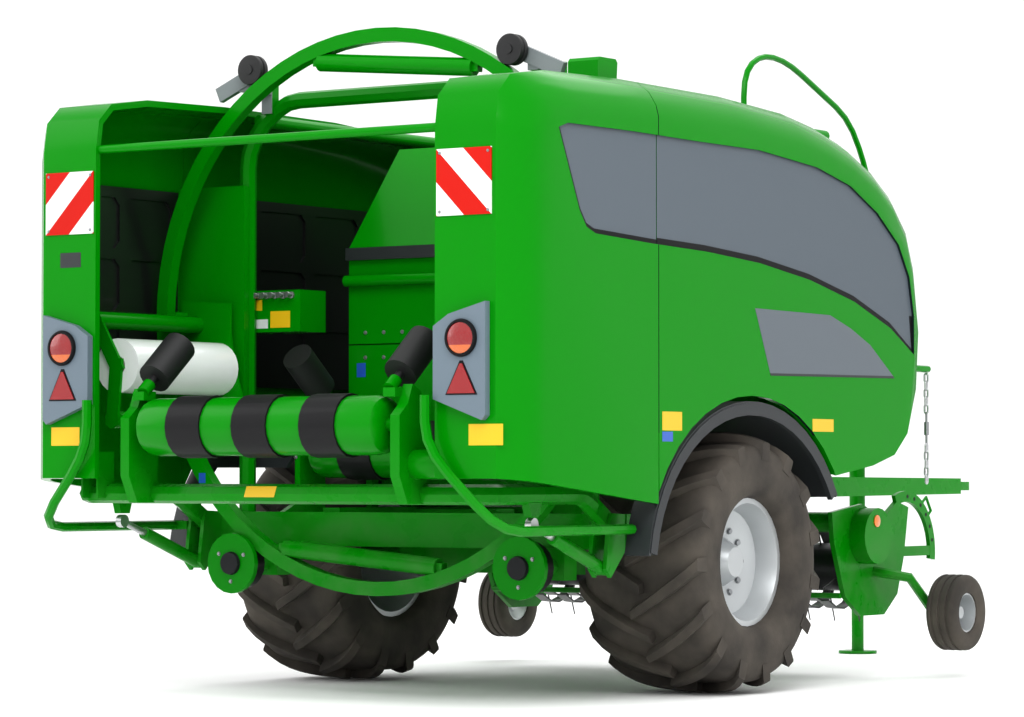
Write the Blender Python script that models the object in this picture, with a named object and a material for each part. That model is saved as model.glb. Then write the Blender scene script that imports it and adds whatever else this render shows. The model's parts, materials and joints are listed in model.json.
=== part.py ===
"""Towed round baler with a vertical-ring bale wrapper behind it.

Metres, +Z up, +Y the way it travels, +X its right-hand side. Heights are above the ground.
Fore and aft places (names ending in _Y) are measured from the road wheels' axle.
The "machine" empty moves them all, so that the origin is under the middle of the machine.
"""
import math

import bmesh
import bpy
from mathutils import Matrix, Vector

# Fits
GAP = 0.0003
CLEAR = 0.006
RUN_GAP = 0.008
OVERRUN = 0.05
SINK = 0.004

# Road wheels
TYRE_R = 0.61
TYRE_WIDTH = 0.645
TYRE_OUTER_X = 1.348
RIM_R = 0.2985
RIM_LIP = 0.022
RIM_WALL = 0.012
RIM_DISH_X = 0.17
LUG_HEIGHT = 0.045
LUG_WIDTH = 0.062
LUG_COUNT = 15
LUG_SWEEP_DEG = 23
LUG_OVERLAP_X = 0.035
SHOULDER_R = 0.075
WHEEL_STEPS = 30
HUB_R = 0.115
HUB_DEPTH = 0.09
AXLE_SIZE = 0.14
AXLE_STUB_R = 0.06
AXLE_Z = TYRE_R

# Chassis
RAIL_X = 0.50
RAIL_WIDTH = 0.10
RAIL_TOP_Z = 0.86
RAIL_REAR_Y = -0.85
RAIL_FRONT_Y = 1.12
BEAM_Y = -0.89
BEAM_DEPTH = 0.08
BEAM_TOP_Z = 0.84
BEAM_BOTTOM_Z = 0.68
BEAM_HALF = 1.21
CROSS_DEPTH = 0.09
POST_Y = -0.30
POST_DEPTH = 0.06
POST_WALL = 0.034
POST_TOP_Z = 1.332
CROSS_SHARES = (0.33, 0.96)

# Drawbar, hitch and parking jack
BAR_WIDTH = 0.16
BAR_HEIGHT = 0.13
BAR_TIP_HEIGHT = 0.09
BAR_Z = 0.95
YOKE_WALL = 0.03
YOKE_DROP = 0.16
EAR_WALL = 0.03
EAR_R = 0.085
HITCH_TIP_Y = 4.62
EYE_R = 0.055
EYE_BORE_R = 0.026
EYE_THICKNESS = 0.05
EYE_NECK = 0.14
JACK_Y = 3.70
JACK_X = -0.205
JACK_R = 0.035
JACK_SLEEVE_R = 0.045
JACK_TOP_Z = 1.06
JACK_SLEEVE_LENGTH = 0.22
JACK_FOOT_R = 0.11
JACK_FOOT_THICKNESS = 0.015
JACK_PIN_R = 0.03

# Side panels, doors and their liners
PANEL_X = 1.38
PANEL_WALL = 0.03
PANEL_INNER_X = 0.95
PANEL_REAR_Y = -2.03
PANEL_FRONT_Y = 1.556
PANEL_TOP_Z = 2.765
PANEL_FOOT_Z = 0.84
PANEL_REAR_FOOT_Z = 1.00
PANEL_SEAM_FOOT_Z = 0.886
SEAM_Y = -0.93
PANEL_ROUND_X = 0.115
PANEL_ROUND_TOP = 0.16
PANEL_ROUND_REAR = 0.19
PANEL_ROUND_FRONT = 0.07
RECESS_DEPTH = 0.012
LINER_WALL = 0.018
LINER_RIB = 0.05
LINER_REAR_Y = -1.80
LINER_FRONT_Y = 0.95
LINER_TOP_Z = 2.38
LINER_FOOT_Z = 1.45
LINER_COLUMNS_REAR = 2
LINER_COLUMNS_FRONT = 4
LINER_ROWS = 3
LINER_CORNER = 0.035
LINER_FRONT_GAP = 0.06

# Wheel arches and mudguards
ARCH_Y = -0.115
ARCH_Z = 0.56
ARCH_HALF_LENGTH = 0.92
ARCH_HEIGHT = 0.82
GUARD_HALF_LENGTH = 0.895
GUARD_HEIGHT = 0.795
GUARD_WALL = 0.02
GUARD_INNER_X = 0.80
GUARD_OUTER_X = 1.372
GUARD_LIP = 0.055
GUARD_REAR_Z = 0.66
GUARD_FRONT_Z = 0.92
GUARD_NOTCH_X = 1.245
GUARD_NOTCH_Z = 1.05

# Hoop, roof rails, bulkheads and cross tube
HOOP_R = 0.04
HOOP_X = 0.985
HOOP_Y = -0.88
HOOP_BEND_Z = 2.56
HOOP_SHOULDER_X = 0.895
HOOP_SHOULDER_Z = 2.70
HOOP_TOP_X = 0.74
HOOP_TOP_Z = 2.80
ROOF_RAIL_R = 0.03
ROOF_RAIL_Z = 2.715
ROOF_RAIL_FRONT_Y = 1.36
BULKHEAD_WALL = 0.022
BULKHEAD_FOOT_Z = 1.37
BULKHEAD_TOP_Z = 2.40
TOP_TUBE_Y = PANEL_REAR_Y + PANEL_WALL
TOP_TUBE_Z = 2.496
TOP_TUBE_R = 0.02

# Bale chamber
CHAMBER_HALF = 0.65
CHAMBER_WALL = 0.03
CHAMBER_REAR_Y = -0.52
CHAMBER_SPLIT_Z = 1.64
CHAMBER_SHOULDER_Z = 2.11
CHAMBER_TOP_Z = 2.62
CHAMBER_TOP_REAR_Y = -0.11
CHAMBER_TOP_FRONT_Y = 0.66
CHAMBER_FRONT_Y = 1.16
CHAMBER_FOOT_REAR_Y = -0.10
CHAMBER_FOOT_FRONT_Y = 0.80
CHAMBER_SIDE_FOOT_Z = 1.18
GATE_PIVOT_Y = CHAMBER_FRONT_Y + GAP
GATE_EAR_HEIGHT = 0.10
GATE_PIVOT_Z = CHAMBER_SHOULDER_Z
COVER_WALL = 0.04
COVER_REAR_Y = 1.26
COVER_TOP_Z = 2.66
COVER_FOOT_Z = 1.03
COVER_HALF = 0.93
CHAIN_X = 1.10
CHAIN_Y = 2.11
CHAIN_TOP_Z = 1.56
CHAIN_R = 0.012
CHAIN_ARM_Y = 1.63
CHAIN_ARM_R = 0.018

# Wrapping ring and what it carries
RING_Y = -1.15
RING_Z = 1.765
RING_R = 1.305
RING_DEPTH = 0.065
RING_WIDTH = 0.06
RING_STEPS = 72
RING_TURN_DEG = 5
CHORD_R = 0.042
CHORD_RADIUS = 1.135
CHORD_HALF = 0.44
CHORD_EAR = 0.03
FILM_R = 0.127
FILM_RADIUS = 1.09
FILM_REAR_Y = -1.745
FILM_FRONT_Y = -1.015
FILM_BELOW_DEG = 18
SPINDLE_R = 0.03
STRETCH_R = 0.042
STRETCH_RADIUS = 1.19
STRETCH_DEG = 11.5
ARM_WALL = 0.015
ARM_WIDTH = 0.07
PLATE_INNER_R = 0.99
PLATE_OUTER_R = 1.29
PLATE_SPAN_DEG = 34

# Wheels and pulleys that carry the ring
LOW_WHEEL_X = 0.819
LOW_WHEEL_Z = 0.60
LOW_WHEEL_WIDTH = 0.09
LOW_DISC_R = 0.142
LOW_DISC_WALL = 0.025
LOW_STUB_R = 0.035
TOP_PULLEY_X = 0.743
TOP_PULLEY_Z = 2.923
TOP_PULLEY_WIDTH = 0.07
TOP_PULLEY_FLANGE = 0.012
TOP_ARM_WALL = 0.03
TOP_ARM_WIDTH = 0.07
TOP_ARM_X = 0.985
TOP_ARM_Z = 2.82
TOP_MOUNT_INNER_X = 0.80
TOP_MOUNT_OUTER_X = 0.86
TOP_MOUNT_Z = 2.83
TOP_MOUNT_TOP_Z = 2.885

# Wrapping table
TABLE_TUBE_Y = -1.86
TABLE_TUBE_Z = 0.93
TABLE_TUBE_R = 0.045
TABLE_TUBE_X = 1.155
TIP_PIVOT_Y = -1.00
TIP_PIVOT_Z = 0.80
TIP_PIN_R = 0.022
TIP_BOSS_HALF = 0.03
TIP_EAR_WALL = 0.02
ROLLER_R = 0.13
ROLLER_BAND_R = 0.14
ROLLER_HALF = 0.672
REAR_ROLLER_Y = -1.973
REAR_ROLLER_Z = 1.229
FRONT_ROLLER_Y = -0.72
FRONT_ROLLER_Z = 1.13
ROLLER_STUB_R = 0.03
SUPPORT_X = 0.73
SUPPORT_WALL = 0.05
SUPPORT_FRONT_Y = -1.85
SUPPORT_REAR_Y = -2.05
SUPPORT_TOP_Z = 1.32
BAND_WIDTH = 0.19
BAND_PITCH = 0.375
SIDE_ROLLER_R = 0.076
SIDE_ROLLER_LENGTH = 0.24
SIDE_ROLLER_LEAN_DEG = 50
SIDE_ROLLER_X = 0.69
SIDE_ROLLER_PIN = 0.04
SIDE_ROLLER_PIN_R = 0.02
REAR_SIDE_Y = -1.955
REAR_SIDE_Z = 1.425
FRONT_SIDE_Y = -0.66
FRONT_SIDE_Z = 1.40
FRONT_SUPPORT_WALL = 0.03
FRONT_SUPPORT_REAR_Y = -0.80
FRONT_SUPPORT_FRONT_Y = -0.60
MOTOR_R = 0.065
MOTOR_LENGTH = 0.155
MOTOR_Y = -1.93
MOTOR_Z = 1.06
COMB_X = 1.00
COMB_PITCH = 0.09
COMB_HEIGHT = 0.19
COMB_WALL = 0.012
COMB_DEPTH = 0.09

# Tipping cylinders
RAM_BASE_Y = -1.05
RAM_BASE_Z = 0.60
RAM_EYE_Y = -1.60
RAM_EYE_Z = 0.80
RAM_BARREL_R = 0.03
RAM_SIDES = 16
RAM_ROD_R = 0.0155
RAM_EYE_R = 0.03
RAM_EYE_HALF = 0.016
RAM_BARREL_LENGTH = 0.40
RAM_FLOOR = 0.05
RAM_ROD_INSIDE = 0.21

# Guard bars beside the table
BAR_R = 0.0225
BAR_TOP_X = 0.944
BAR_TOP_Y = -2.092
BAR_TOP_Z = 1.353
BAR_BEND_Z = 1.13
BAR_LOW_X = 1.285
BAR_LOW_Y = -2.03
BAR_LOW_Z = 0.775
BAR_END_Y = -1.0

# Rear lights
LAMP_DEPTH = 0.035
LAMP_INNER_X = 0.965
LAMP_OUTER_X = 1.235
LAMP_TOP_Z = 1.745
LAMP_FOOT_Z = 1.245
LAMP_LENS_R = 0.07
LAMP_LENS_X = 1.115
LAMP_LENS_Z = 1.592
LAMP_LENS_DEPTH = 0.012
BOARD_SIZE = 0.285
BOARD_X = 1.104
BOARD_Z = 2.255
BOARD_WALL = 0.006

# Valve box, handrail and roof box
VALVE_LENGTH = 0.40
VALVE_DEPTH = 0.20
VALVE_HEIGHT = 0.20
VALVE_Z = 1.80
VALVE_X = -0.90
RAIL_TUBE_R = 0.015
HAND_X = 0.85
HAND_REAR_Y = 0.69
HAND_RISE_Z = 2.98
HAND_TOP_Z = 3.085
HAND_TOP_Y = 0.85
HAND_MID_Y = 1.10
HAND_FALL_Y = 1.75
HAND_FALL_Z = 2.83
HAND_END_Y = 1.97
HAND_END_Z = 2.50
HAND_FOOT_Z = 1.62
ROOF_BOX_LENGTH = 0.26
ROOF_BOX_HEIGHT = 0.11
ROOF_BOX_DEPTH = 0.16
ROOF_BOX_X = 0.80

# Pickup
PICKUP_PIVOT_Y = 1.24
PICKUP_PIVOT_Z = 0.78
PICKUP_TUBE_R = 0.05
PICKUP_HALF = 1.07
PICKUP_SIDE_WALL = 0.025
REEL_Y = 1.57
REEL_Z = 0.55
REEL_DRUM_R = 0.12
REEL_HALF = 1.00
TINE_R = 0.0045
TINE_TIP_R = 0.295
TINE_ROWS = 4
TINES_PER_ROW = 14
TINE_BAR_R = 0.018
SIDE_RADIUS = 0.33
GAUGE_X = 1.375
GAUGE_Y = 1.884
GAUGE_Z = 0.321
GAUGE_R = 0.192
GAUGE_WIDTH = 0.165
GAUGE_RIM_R = 0.10
GAUGE_ARM = 0.05
GAUGE_SPINDLE_R = 0.018
GAUGE_STEPS = 18
DRIVE_R = 0.14
DRIVE_DEPTH = 0.09

# The origin lies under the middle of the machine's length
MACHINE_REAR_Y = BAR_TOP_Y - BAR_R
MACHINE_SHIFT_Y = -(MACHINE_REAR_Y + HITCH_TIP_Y) / 2

GREEN = (0.01, 0.36, 0.02, 1)
GREY = (0.16, 0.22, 0.27, 1)
DARK_PLASTIC = (0.035, 0.037, 0.04, 1)
BLACK = (0.01, 0.01, 0.01, 1)
TYRE_BROWN = (0.035, 0.028, 0.022, 1)
SILVER = (0.62, 0.65, 0.67, 1)
RED = (0.6, 0.01, 0.02, 1)
WHITE = (0.9, 0.9, 0.9, 1)
CHROME = (0.75, 0.76, 0.78, 1)

SIDES = (("left", -1), ("right", 1))

for old in list(bpy.data.objects):
    bpy.data.objects.remove(old, do_unlink=True)

parts = bpy.data.collections.new("baler_wrapper")
forms = bpy.data.collections.new("forms")
for collection in (parts, forms):
    bpy.context.scene.collection.children.link(collection)

machine = bpy.data.objects.new("machine", None)
machine.location = (0, MACHINE_SHIFT_Y, 0)
parts.objects.link(machine)


def material(name, colour, roughness, metallic):
    """Return a plain Principled material."""
    made = bpy.data.materials.new(name)
    made.use_nodes = True
    shader = made.node_tree.nodes["Principled BSDF"]
    shader.inputs["Base Color"].default_value = colour
    shader.inputs["Roughness"].default_value = roughness
    shader.inputs["Metallic"].default_value = metallic
    return made


PAINT = material("green_paint", GREEN, 0.25, 0.0)
GREY_PAINT = material("grey_paint", GREY, 0.35, 0.0)
PLASTIC = material("dark_plastic", DARK_PLASTIC, 0.5, 0.0)
LINER = material("black_liner", BLACK, 0.35, 0.0)
TYRE = material("tyre_rubber", TYRE_BROWN, 0.85, 0.0)
RUBBER = material("black_rubber", BLACK, 0.7, 0.0)
RIM = material("silver_rim", SILVER, 0.35, 0.6)
LENS = material("red_lens", RED, 0.1, 0.0)
BOARD = material("board_white", WHITE, 0.4, 0.0)
FILM = material("white_film", WHITE, 0.3, 0.0)
STEEL = material("bright_steel", CHROME, 0.2, 1.0)


def pivot(name, place, parent=None):
    """Return an empty on a joint's axis; place is measured from the axle."""
    made = bpy.data.objects.new(name, None)
    holder = parent or machine
    made.parent = holder
    base = Vector(holder["place"]) if "place" in holder else Vector((0, 0, 0))
    made.location = Vector(place) - base
    made["place"] = list(place)
    parts.objects.link(made)
    return made


def form(name, mesh):
    """Return a guide object that holds one shape of a node."""
    made = bpy.data.objects.new(name, mesh)
    made.hide_render = True
    made.display_type = "WIRE"
    forms.objects.link(made)
    return made


def from_bmesh(name, work):
    """Return a guide object from a finished bmesh."""
    bmesh.ops.recalc_face_normals(work, faces=work.faces)
    mesh = bpy.data.meshes.new(name)
    work.to_mesh(mesh)
    work.free()
    return form(name, mesh)


def block(low, high, bevel=0.0):
    """A box between two corners, with its edges bevelled if bevel is given."""
    work = bmesh.new()
    bmesh.ops.create_cube(work, size=1.0)
    for vert in work.verts:
        for axis in range(3):
            vert.co[axis] = low[axis] if vert.co[axis] < 0 else high[axis]
    if bevel:
        bmesh.ops.bevel(work, geom=list(work.edges), offset=bevel, segments=1, affect="EDGES")
    return from_bmesh("block", work)


def rod(start, end, radius, sides=16, end_radius=None):
    """A round bar between two points, or a cone if end_radius is given."""
    start, end = Vector(start), Vector(end)
    way = end - start
    work = bmesh.new()
    bmesh.ops.create_cone(
        work, cap_ends=True, segments=sides, radius1=radius,
        radius2=radius if end_radius is None else end_radius, depth=way.length,
    )
    turn = way.to_track_quat("Z", "Y").to_matrix().to_4x4()
    bmesh.ops.transform(work, matrix=Matrix.Translation((start + end) / 2) @ turn, verts=work.verts)
    return from_bmesh("rod", work)


def round_bore(radius, sides):
    """The radius of a many-sided bore whose flats clear a shaft by the gap."""
    return (radius + GAP) / math.cos(math.pi / sides)


def as_mesh(made, name):
    """Turn a curve or an object with modifiers into a plain guide mesh and weld its seams."""
    bpy.context.view_layer.update()
    graph = bpy.context.evaluated_depsgraph_get()
    mesh = bpy.data.meshes.new_from_object(made.evaluated_get(graph))
    work = bmesh.new()
    work.from_mesh(mesh)
    work.transform(made.matrix_world)
    bmesh.ops.remove_doubles(work, verts=work.verts, dist=0.00005)
    bpy.data.objects.remove(made, do_unlink=True)
    return from_bmesh(name, work)


def pipe(points, radius, sides=2, bend=0.0, bend_steps=3):
    """A bent tube through points, its corners rounded to the bend radius."""
    route = rounded(points, bend, bend_steps) if bend else [Vector(p) for p in points]
    curve = bpy.data.curves.new("pipe", "CURVE")
    curve.dimensions = "3D"
    curve.bevel_depth = radius
    curve.bevel_resolution = sides
    curve.use_fill_caps = True
    spline = curve.splines.new("POLY")
    spline.points.add(len(route) - 1)
    for point, place in zip(spline.points, route):
        point.co = (*place, 1)
    made = bpy.data.objects.new("pipe", curve)
    forms.objects.link(made)
    return as_mesh(made, "pipe")


def rounded(points, bend, steps):
    """Replace each corner of a polyline by an arc-like run of points."""
    places = [Vector(p) for p in points]
    route = [places[0]]
    for before, here, after in zip(places, places[1:], places[2:]):
        reach_in = min(bend, (here - before).length * 0.49)
        reach_out = min(bend, (after - here).length * 0.49)
        start = here + (before - here).normalized() * reach_in
        end = here + (after - here).normalized() * reach_out
        for step in range(steps + 1):
            share = step / steps
            route.append((1 - share) ** 2 * start + 2 * share * (1 - share) * here + share**2 * end)
    route.append(places[-1])
    return route


def plate(outline, axis, low, high):
    """A flat outline in the plane across axis, extruded from low to high."""
    curve = bpy.data.curves.new("plate", "CURVE")
    curve.dimensions = "2D"
    curve.fill_mode = "BOTH"
    curve.extrude = (high - low) / 2
    spline = curve.splines.new("POLY")
    spline.points.add(len(outline) - 1)
    for point, place in zip(spline.points, outline):
        point.co = (*place, 0, 1)
    spline.use_cyclic_u = True
    made = bpy.data.objects.new("plate", curve)
    middle = (low + high) / 2
    across = {
        "X": Matrix(((0, 0, 1, middle), (1, 0, 0, 0), (0, 1, 0, 0), (0, 0, 0, 1))),
        "Y": Matrix(((1, 0, 0, 0), (0, 0, -1, middle), (0, 1, 0, 0), (0, 0, 0, 1))),
        "Z": Matrix(((1, 0, 0, 0), (0, 1, 0, 0), (0, 0, 1, middle), (0, 0, 0, 1))),
    }
    made.matrix_world = across[axis]
    forms.objects.link(made)
    return as_mesh(made, "plate")


def turned(profile, axis, place, steps=32):
    """Turn a closed profile of (radius, along) points about an axis through place."""
    work = bmesh.new()
    rows = []
    for step in range(steps):
        angle = 2 * math.pi * step / steps
        rows.append([
            work.verts.new((radius * math.cos(angle), radius * math.sin(angle), along))
            for radius, along in profile
        ])
    for this, following in zip(rows, rows[1:] + rows[:1]):
        for near in range(len(profile)):
            far = (near + 1) % len(profile)
            if profile[near][0] or profile[far][0]:
                work.faces.new((this[near], this[far], following[far], following[near]))
    bmesh.ops.remove_doubles(work, verts=work.verts, dist=0.00001)
    bmesh.ops.dissolve_degenerate(work, edges=work.edges, dist=0.00001)
    turn = {
        "X": Matrix.Rotation(math.pi / 2, 4, "Y"),
        "Y": Matrix.Rotation(-math.pi / 2, 4, "X"),
        "Z": Matrix.Identity(4),
    }[axis]
    bmesh.ops.transform(work, matrix=Matrix.Translation(place) @ turn, verts=work.verts)
    return from_bmesh("turned", work)


def spun(shape, turn, place=(0, 0, 0)):
    """Turn a guide shape by a matrix about a place."""
    there = Matrix.Translation(place)
    shape.data.transform(there @ turn @ there.inverted())
    return shape


def mirrored(shape):
    """Mirror a guide shape to the other side of the machine."""
    shape.data.transform(Matrix.Scale(-1, 4, (1, 0, 0)))
    shape.data.flip_normals()
    return shape


def node(name, finish, shapes, cuts=(), parent=None, smooth_deg=35):
    """Fuse shapes into one named piece and take the cuts out of it."""
    first, rest = shapes[0], list(shapes[1:])
    made = bpy.data.objects.new(name, first.data.copy())
    holder = parent or machine
    base = Vector(holder["place"]) if "place" in holder else Vector((0, 0, 0))
    made.data.transform(Matrix.Translation(-base))
    made.parent = holder
    parts.objects.link(made)
    made.data.materials.clear()
    made.data.materials.append(finish)
    bpy.data.objects.remove(first, do_unlink=True)
    for word, group in (("join", rest), ("cut", list(cuts))):
        if not group:
            continue
        held = bpy.data.collections.new(f"{name}_{word}")
        forms.children.link(held)
        for shape in group:
            shape.data.transform(Matrix.Translation(Vector(machine.location)))
            held.objects.link(shape)
            forms.objects.unlink(shape)
        change = made.modifiers.new(word, "BOOLEAN")
        change.operation = "UNION" if word == "join" else "DIFFERENCE"
        change.solver = "EXACT"
        change.operand_type = "COLLECTION"
        change.collection = held
    made.data.shade_smooth()
    made.data.set_sharp_from_angle(angle=math.radians(smooth_deg))
    return made


def shrunk(outline, wall):
    """A closed outline moved inwards by wall, its corners mitred; outlines run clockwise or not."""
    places = [Vector(p) for p in outline]
    area = sum(a.x * b.y - b.x * a.y for a, b in zip(places, places[1:] + places[:1]))
    hand = 1 if area > 0 else -1
    made = []
    for index, here in enumerate(places):
        before, after = places[index - 1], places[(index + 1) % len(places)]
        way_in, way_out = (here - before).normalized(), (after - here).normalized()
        normals = [Vector((-way.y, way.x)) * hand for way in (way_in, way_out)]
        middle = (normals[0] + normals[1]).normalized()
        made.append(tuple(here + middle * wall / max(middle.dot(normals[0]), 0.2)))
    return made


def ellipse(centre, half, start_deg, end_deg, steps):
    """Points along an ellipse's arc in the Y-Z plane, angles from +Y towards +Z."""
    run = []
    for step in range(steps + 1):
        angle = math.radians(start_deg + (end_deg - start_deg) * step / steps)
        run.append((centre[0] + half[0] * math.cos(angle), centre[1] + half[1] * math.sin(angle)))
    return run


def arc_strip(points, wall):
    """A closed outline that follows points on one side and runs wall inside them."""
    inner = []
    for index, point in enumerate(points):
        before = Vector(points[max(index - 1, 0)])
        after = Vector(points[min(index + 1, len(points) - 1)])
        way = (after - before).normalized()
        inner.append(tuple(Vector(point) + Vector((-way.y, way.x)) * wall))
    return list(points) + inner[::-1]


# Road wheels: a tyre with curved lugs, and a dished rim
def lug(side, turn, middle):
    """One curved lug, swept from the tyre's shoulder to just past its middle."""
    half = TYRE_WIDTH / 2
    stations = 3
    work = bmesh.new()
    rows = []
    for station in range(stations):
        share = station / (stations - 1)
        across = side * (half - (half + LUG_OVERLAP_X) * share)
        angle = turn + math.radians(LUG_SWEEP_DEG) * share**0.8
        spread = LUG_WIDTH / 2 / TYRE_R * (1.15 - 0.35 * share)
        shoulder = SHOULDER_R * 0.55 * (1 - share) ** 4
        top = TYRE_R - shoulder
        foot = TYRE_R - LUG_HEIGHT - SINK - shoulder - SHOULDER_R * 0.35 * (1 - share) ** 4
        ring = []
        for swing, radius in ((-spread, foot), (spread, foot), (spread * 0.8, top), (-spread * 0.8, top)):
            ring.append(work.verts.new((
                middle + across, radius * math.cos(angle + swing), AXLE_Z + radius * math.sin(angle + swing),
            )))
        rows.append(ring)
    for this, following in zip(rows, rows[1:]):
        for near in range(4):
            far = (near + 1) % 4
            work.faces.new((this[near], this[far], following[far], following[near]))
    work.faces.new(rows[0][::-1])
    work.faces.new(rows[-1])
    return work


def lugs(middle):
    """All lugs of one tyre in one guide mesh."""
    whole = bmesh.new()
    for side in (-1, 1):
        for step in range(LUG_COUNT):
            turn = 2 * math.pi * (step + (0.5 if side > 0 else 0)) / LUG_COUNT
            one = lug(side, turn, middle)
            bmesh.ops.recalc_face_normals(one, faces=one.faces)
            mesh = bpy.data.meshes.new("lug")
            one.to_mesh(mesh)
            one.free()
            whole.from_mesh(mesh)
            bpy.data.meshes.remove(mesh)
    return from_bmesh("lugs", whole)


def road_wheel(word, sign):
    """Tyre and rim on their own pivot at the axle's end."""
    middle = sign * (TYRE_OUTER_X - TYRE_WIDTH / 2)
    half = TYRE_WIDTH / 2
    carcass = TYRE_R - LUG_HEIGHT
    bead = RIM_R + GAP
    holder = pivot(f"wheel_pivot_{word}", (middle, 0, AXLE_Z))
    casing = turned(
        [
            (bead, -half * 0.80), (bead + 0.02, -half * 0.93), (bead + 0.13, -half),
            (carcass - SHOULDER_R, -half * 0.985), (carcass - 0.018, -half * 0.86), (carcass, -half * 0.5),
            (carcass, half * 0.5), (carcass - 0.018, half * 0.86), (carcass - SHOULDER_R, half * 0.985),
            (bead + 0.13, half), (bead + 0.02, half * 0.93), (bead, half * 0.80),
        ],
        "X", (middle, 0, AXLE_Z), WHEEL_STEPS,
    )
    node(f"tyre_{word}", TYRE, [casing, lugs(middle)], parent=holder)
    outer = sign * half * 0.78
    dish = sign * (half - RIM_DISH_X)
    well = sign * half
    inner_face = -sign * half * 0.78
    rim_profile = [
        (RIM_R - RIM_WALL * 2, outer), (RIM_R, outer), (RIM_R - 0.012, outer - sign * 0.05),
        (RIM_R - 0.045, outer - sign * 0.09), (RIM_R - 0.045, inner_face + sign * 0.09),
        (RIM_R - 0.012, inner_face + sign * 0.05), (RIM_R, inner_face), (RIM_R - RIM_WALL * 2, inner_face),
        (RIM_R - 0.045 - RIM_WALL, inner_face + sign * 0.08),
        (RIM_R - 0.045 - RIM_WALL, dish - sign * 0.02), (HUB_R, dish - sign * 0.055),
        (HUB_R, dish - sign * HUB_DEPTH), (0.0, dish - sign * HUB_DEPTH), (0.0, dish + sign * 0.035),
        (HUB_R * 0.6, dish + sign * 0.035), (HUB_R * 0.75, dish + sign * 0.01),
        (HUB_R, dish - sign * 0.04), (RIM_R - 0.045 - RIM_WALL, dish),
        (RIM_R - 0.045 - RIM_WALL, outer - sign * 0.09),
    ]
    node(f"rim_{word}", RIM, [turned(rim_profile, "X", (middle, 0, AXLE_Z), WHEEL_STEPS)], parent=holder)
    return middle + dish - sign * HUB_DEPTH


hub_faces = {word: road_wheel(word, sign) for word, sign in SIDES}

# Axle: a square beam with a round stub to each hub
axle_end = TYRE_OUTER_X - TYRE_WIDTH - 0.03
axle_shapes = [block(
    (-axle_end, -AXLE_SIZE / 2, AXLE_Z - AXLE_SIZE / 2), (axle_end, AXLE_SIZE / 2, AXLE_Z + AXLE_SIZE / 2),
)]
for word, sign in SIDES:
    axle_shapes.append(rod(
        (sign * (axle_end - SINK), 0, AXLE_Z), (hub_faces[word] - sign * GAP, 0, AXLE_Z), AXLE_STUB_R,
    ))
node("axle_beam", PAINT, axle_shapes)

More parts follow.
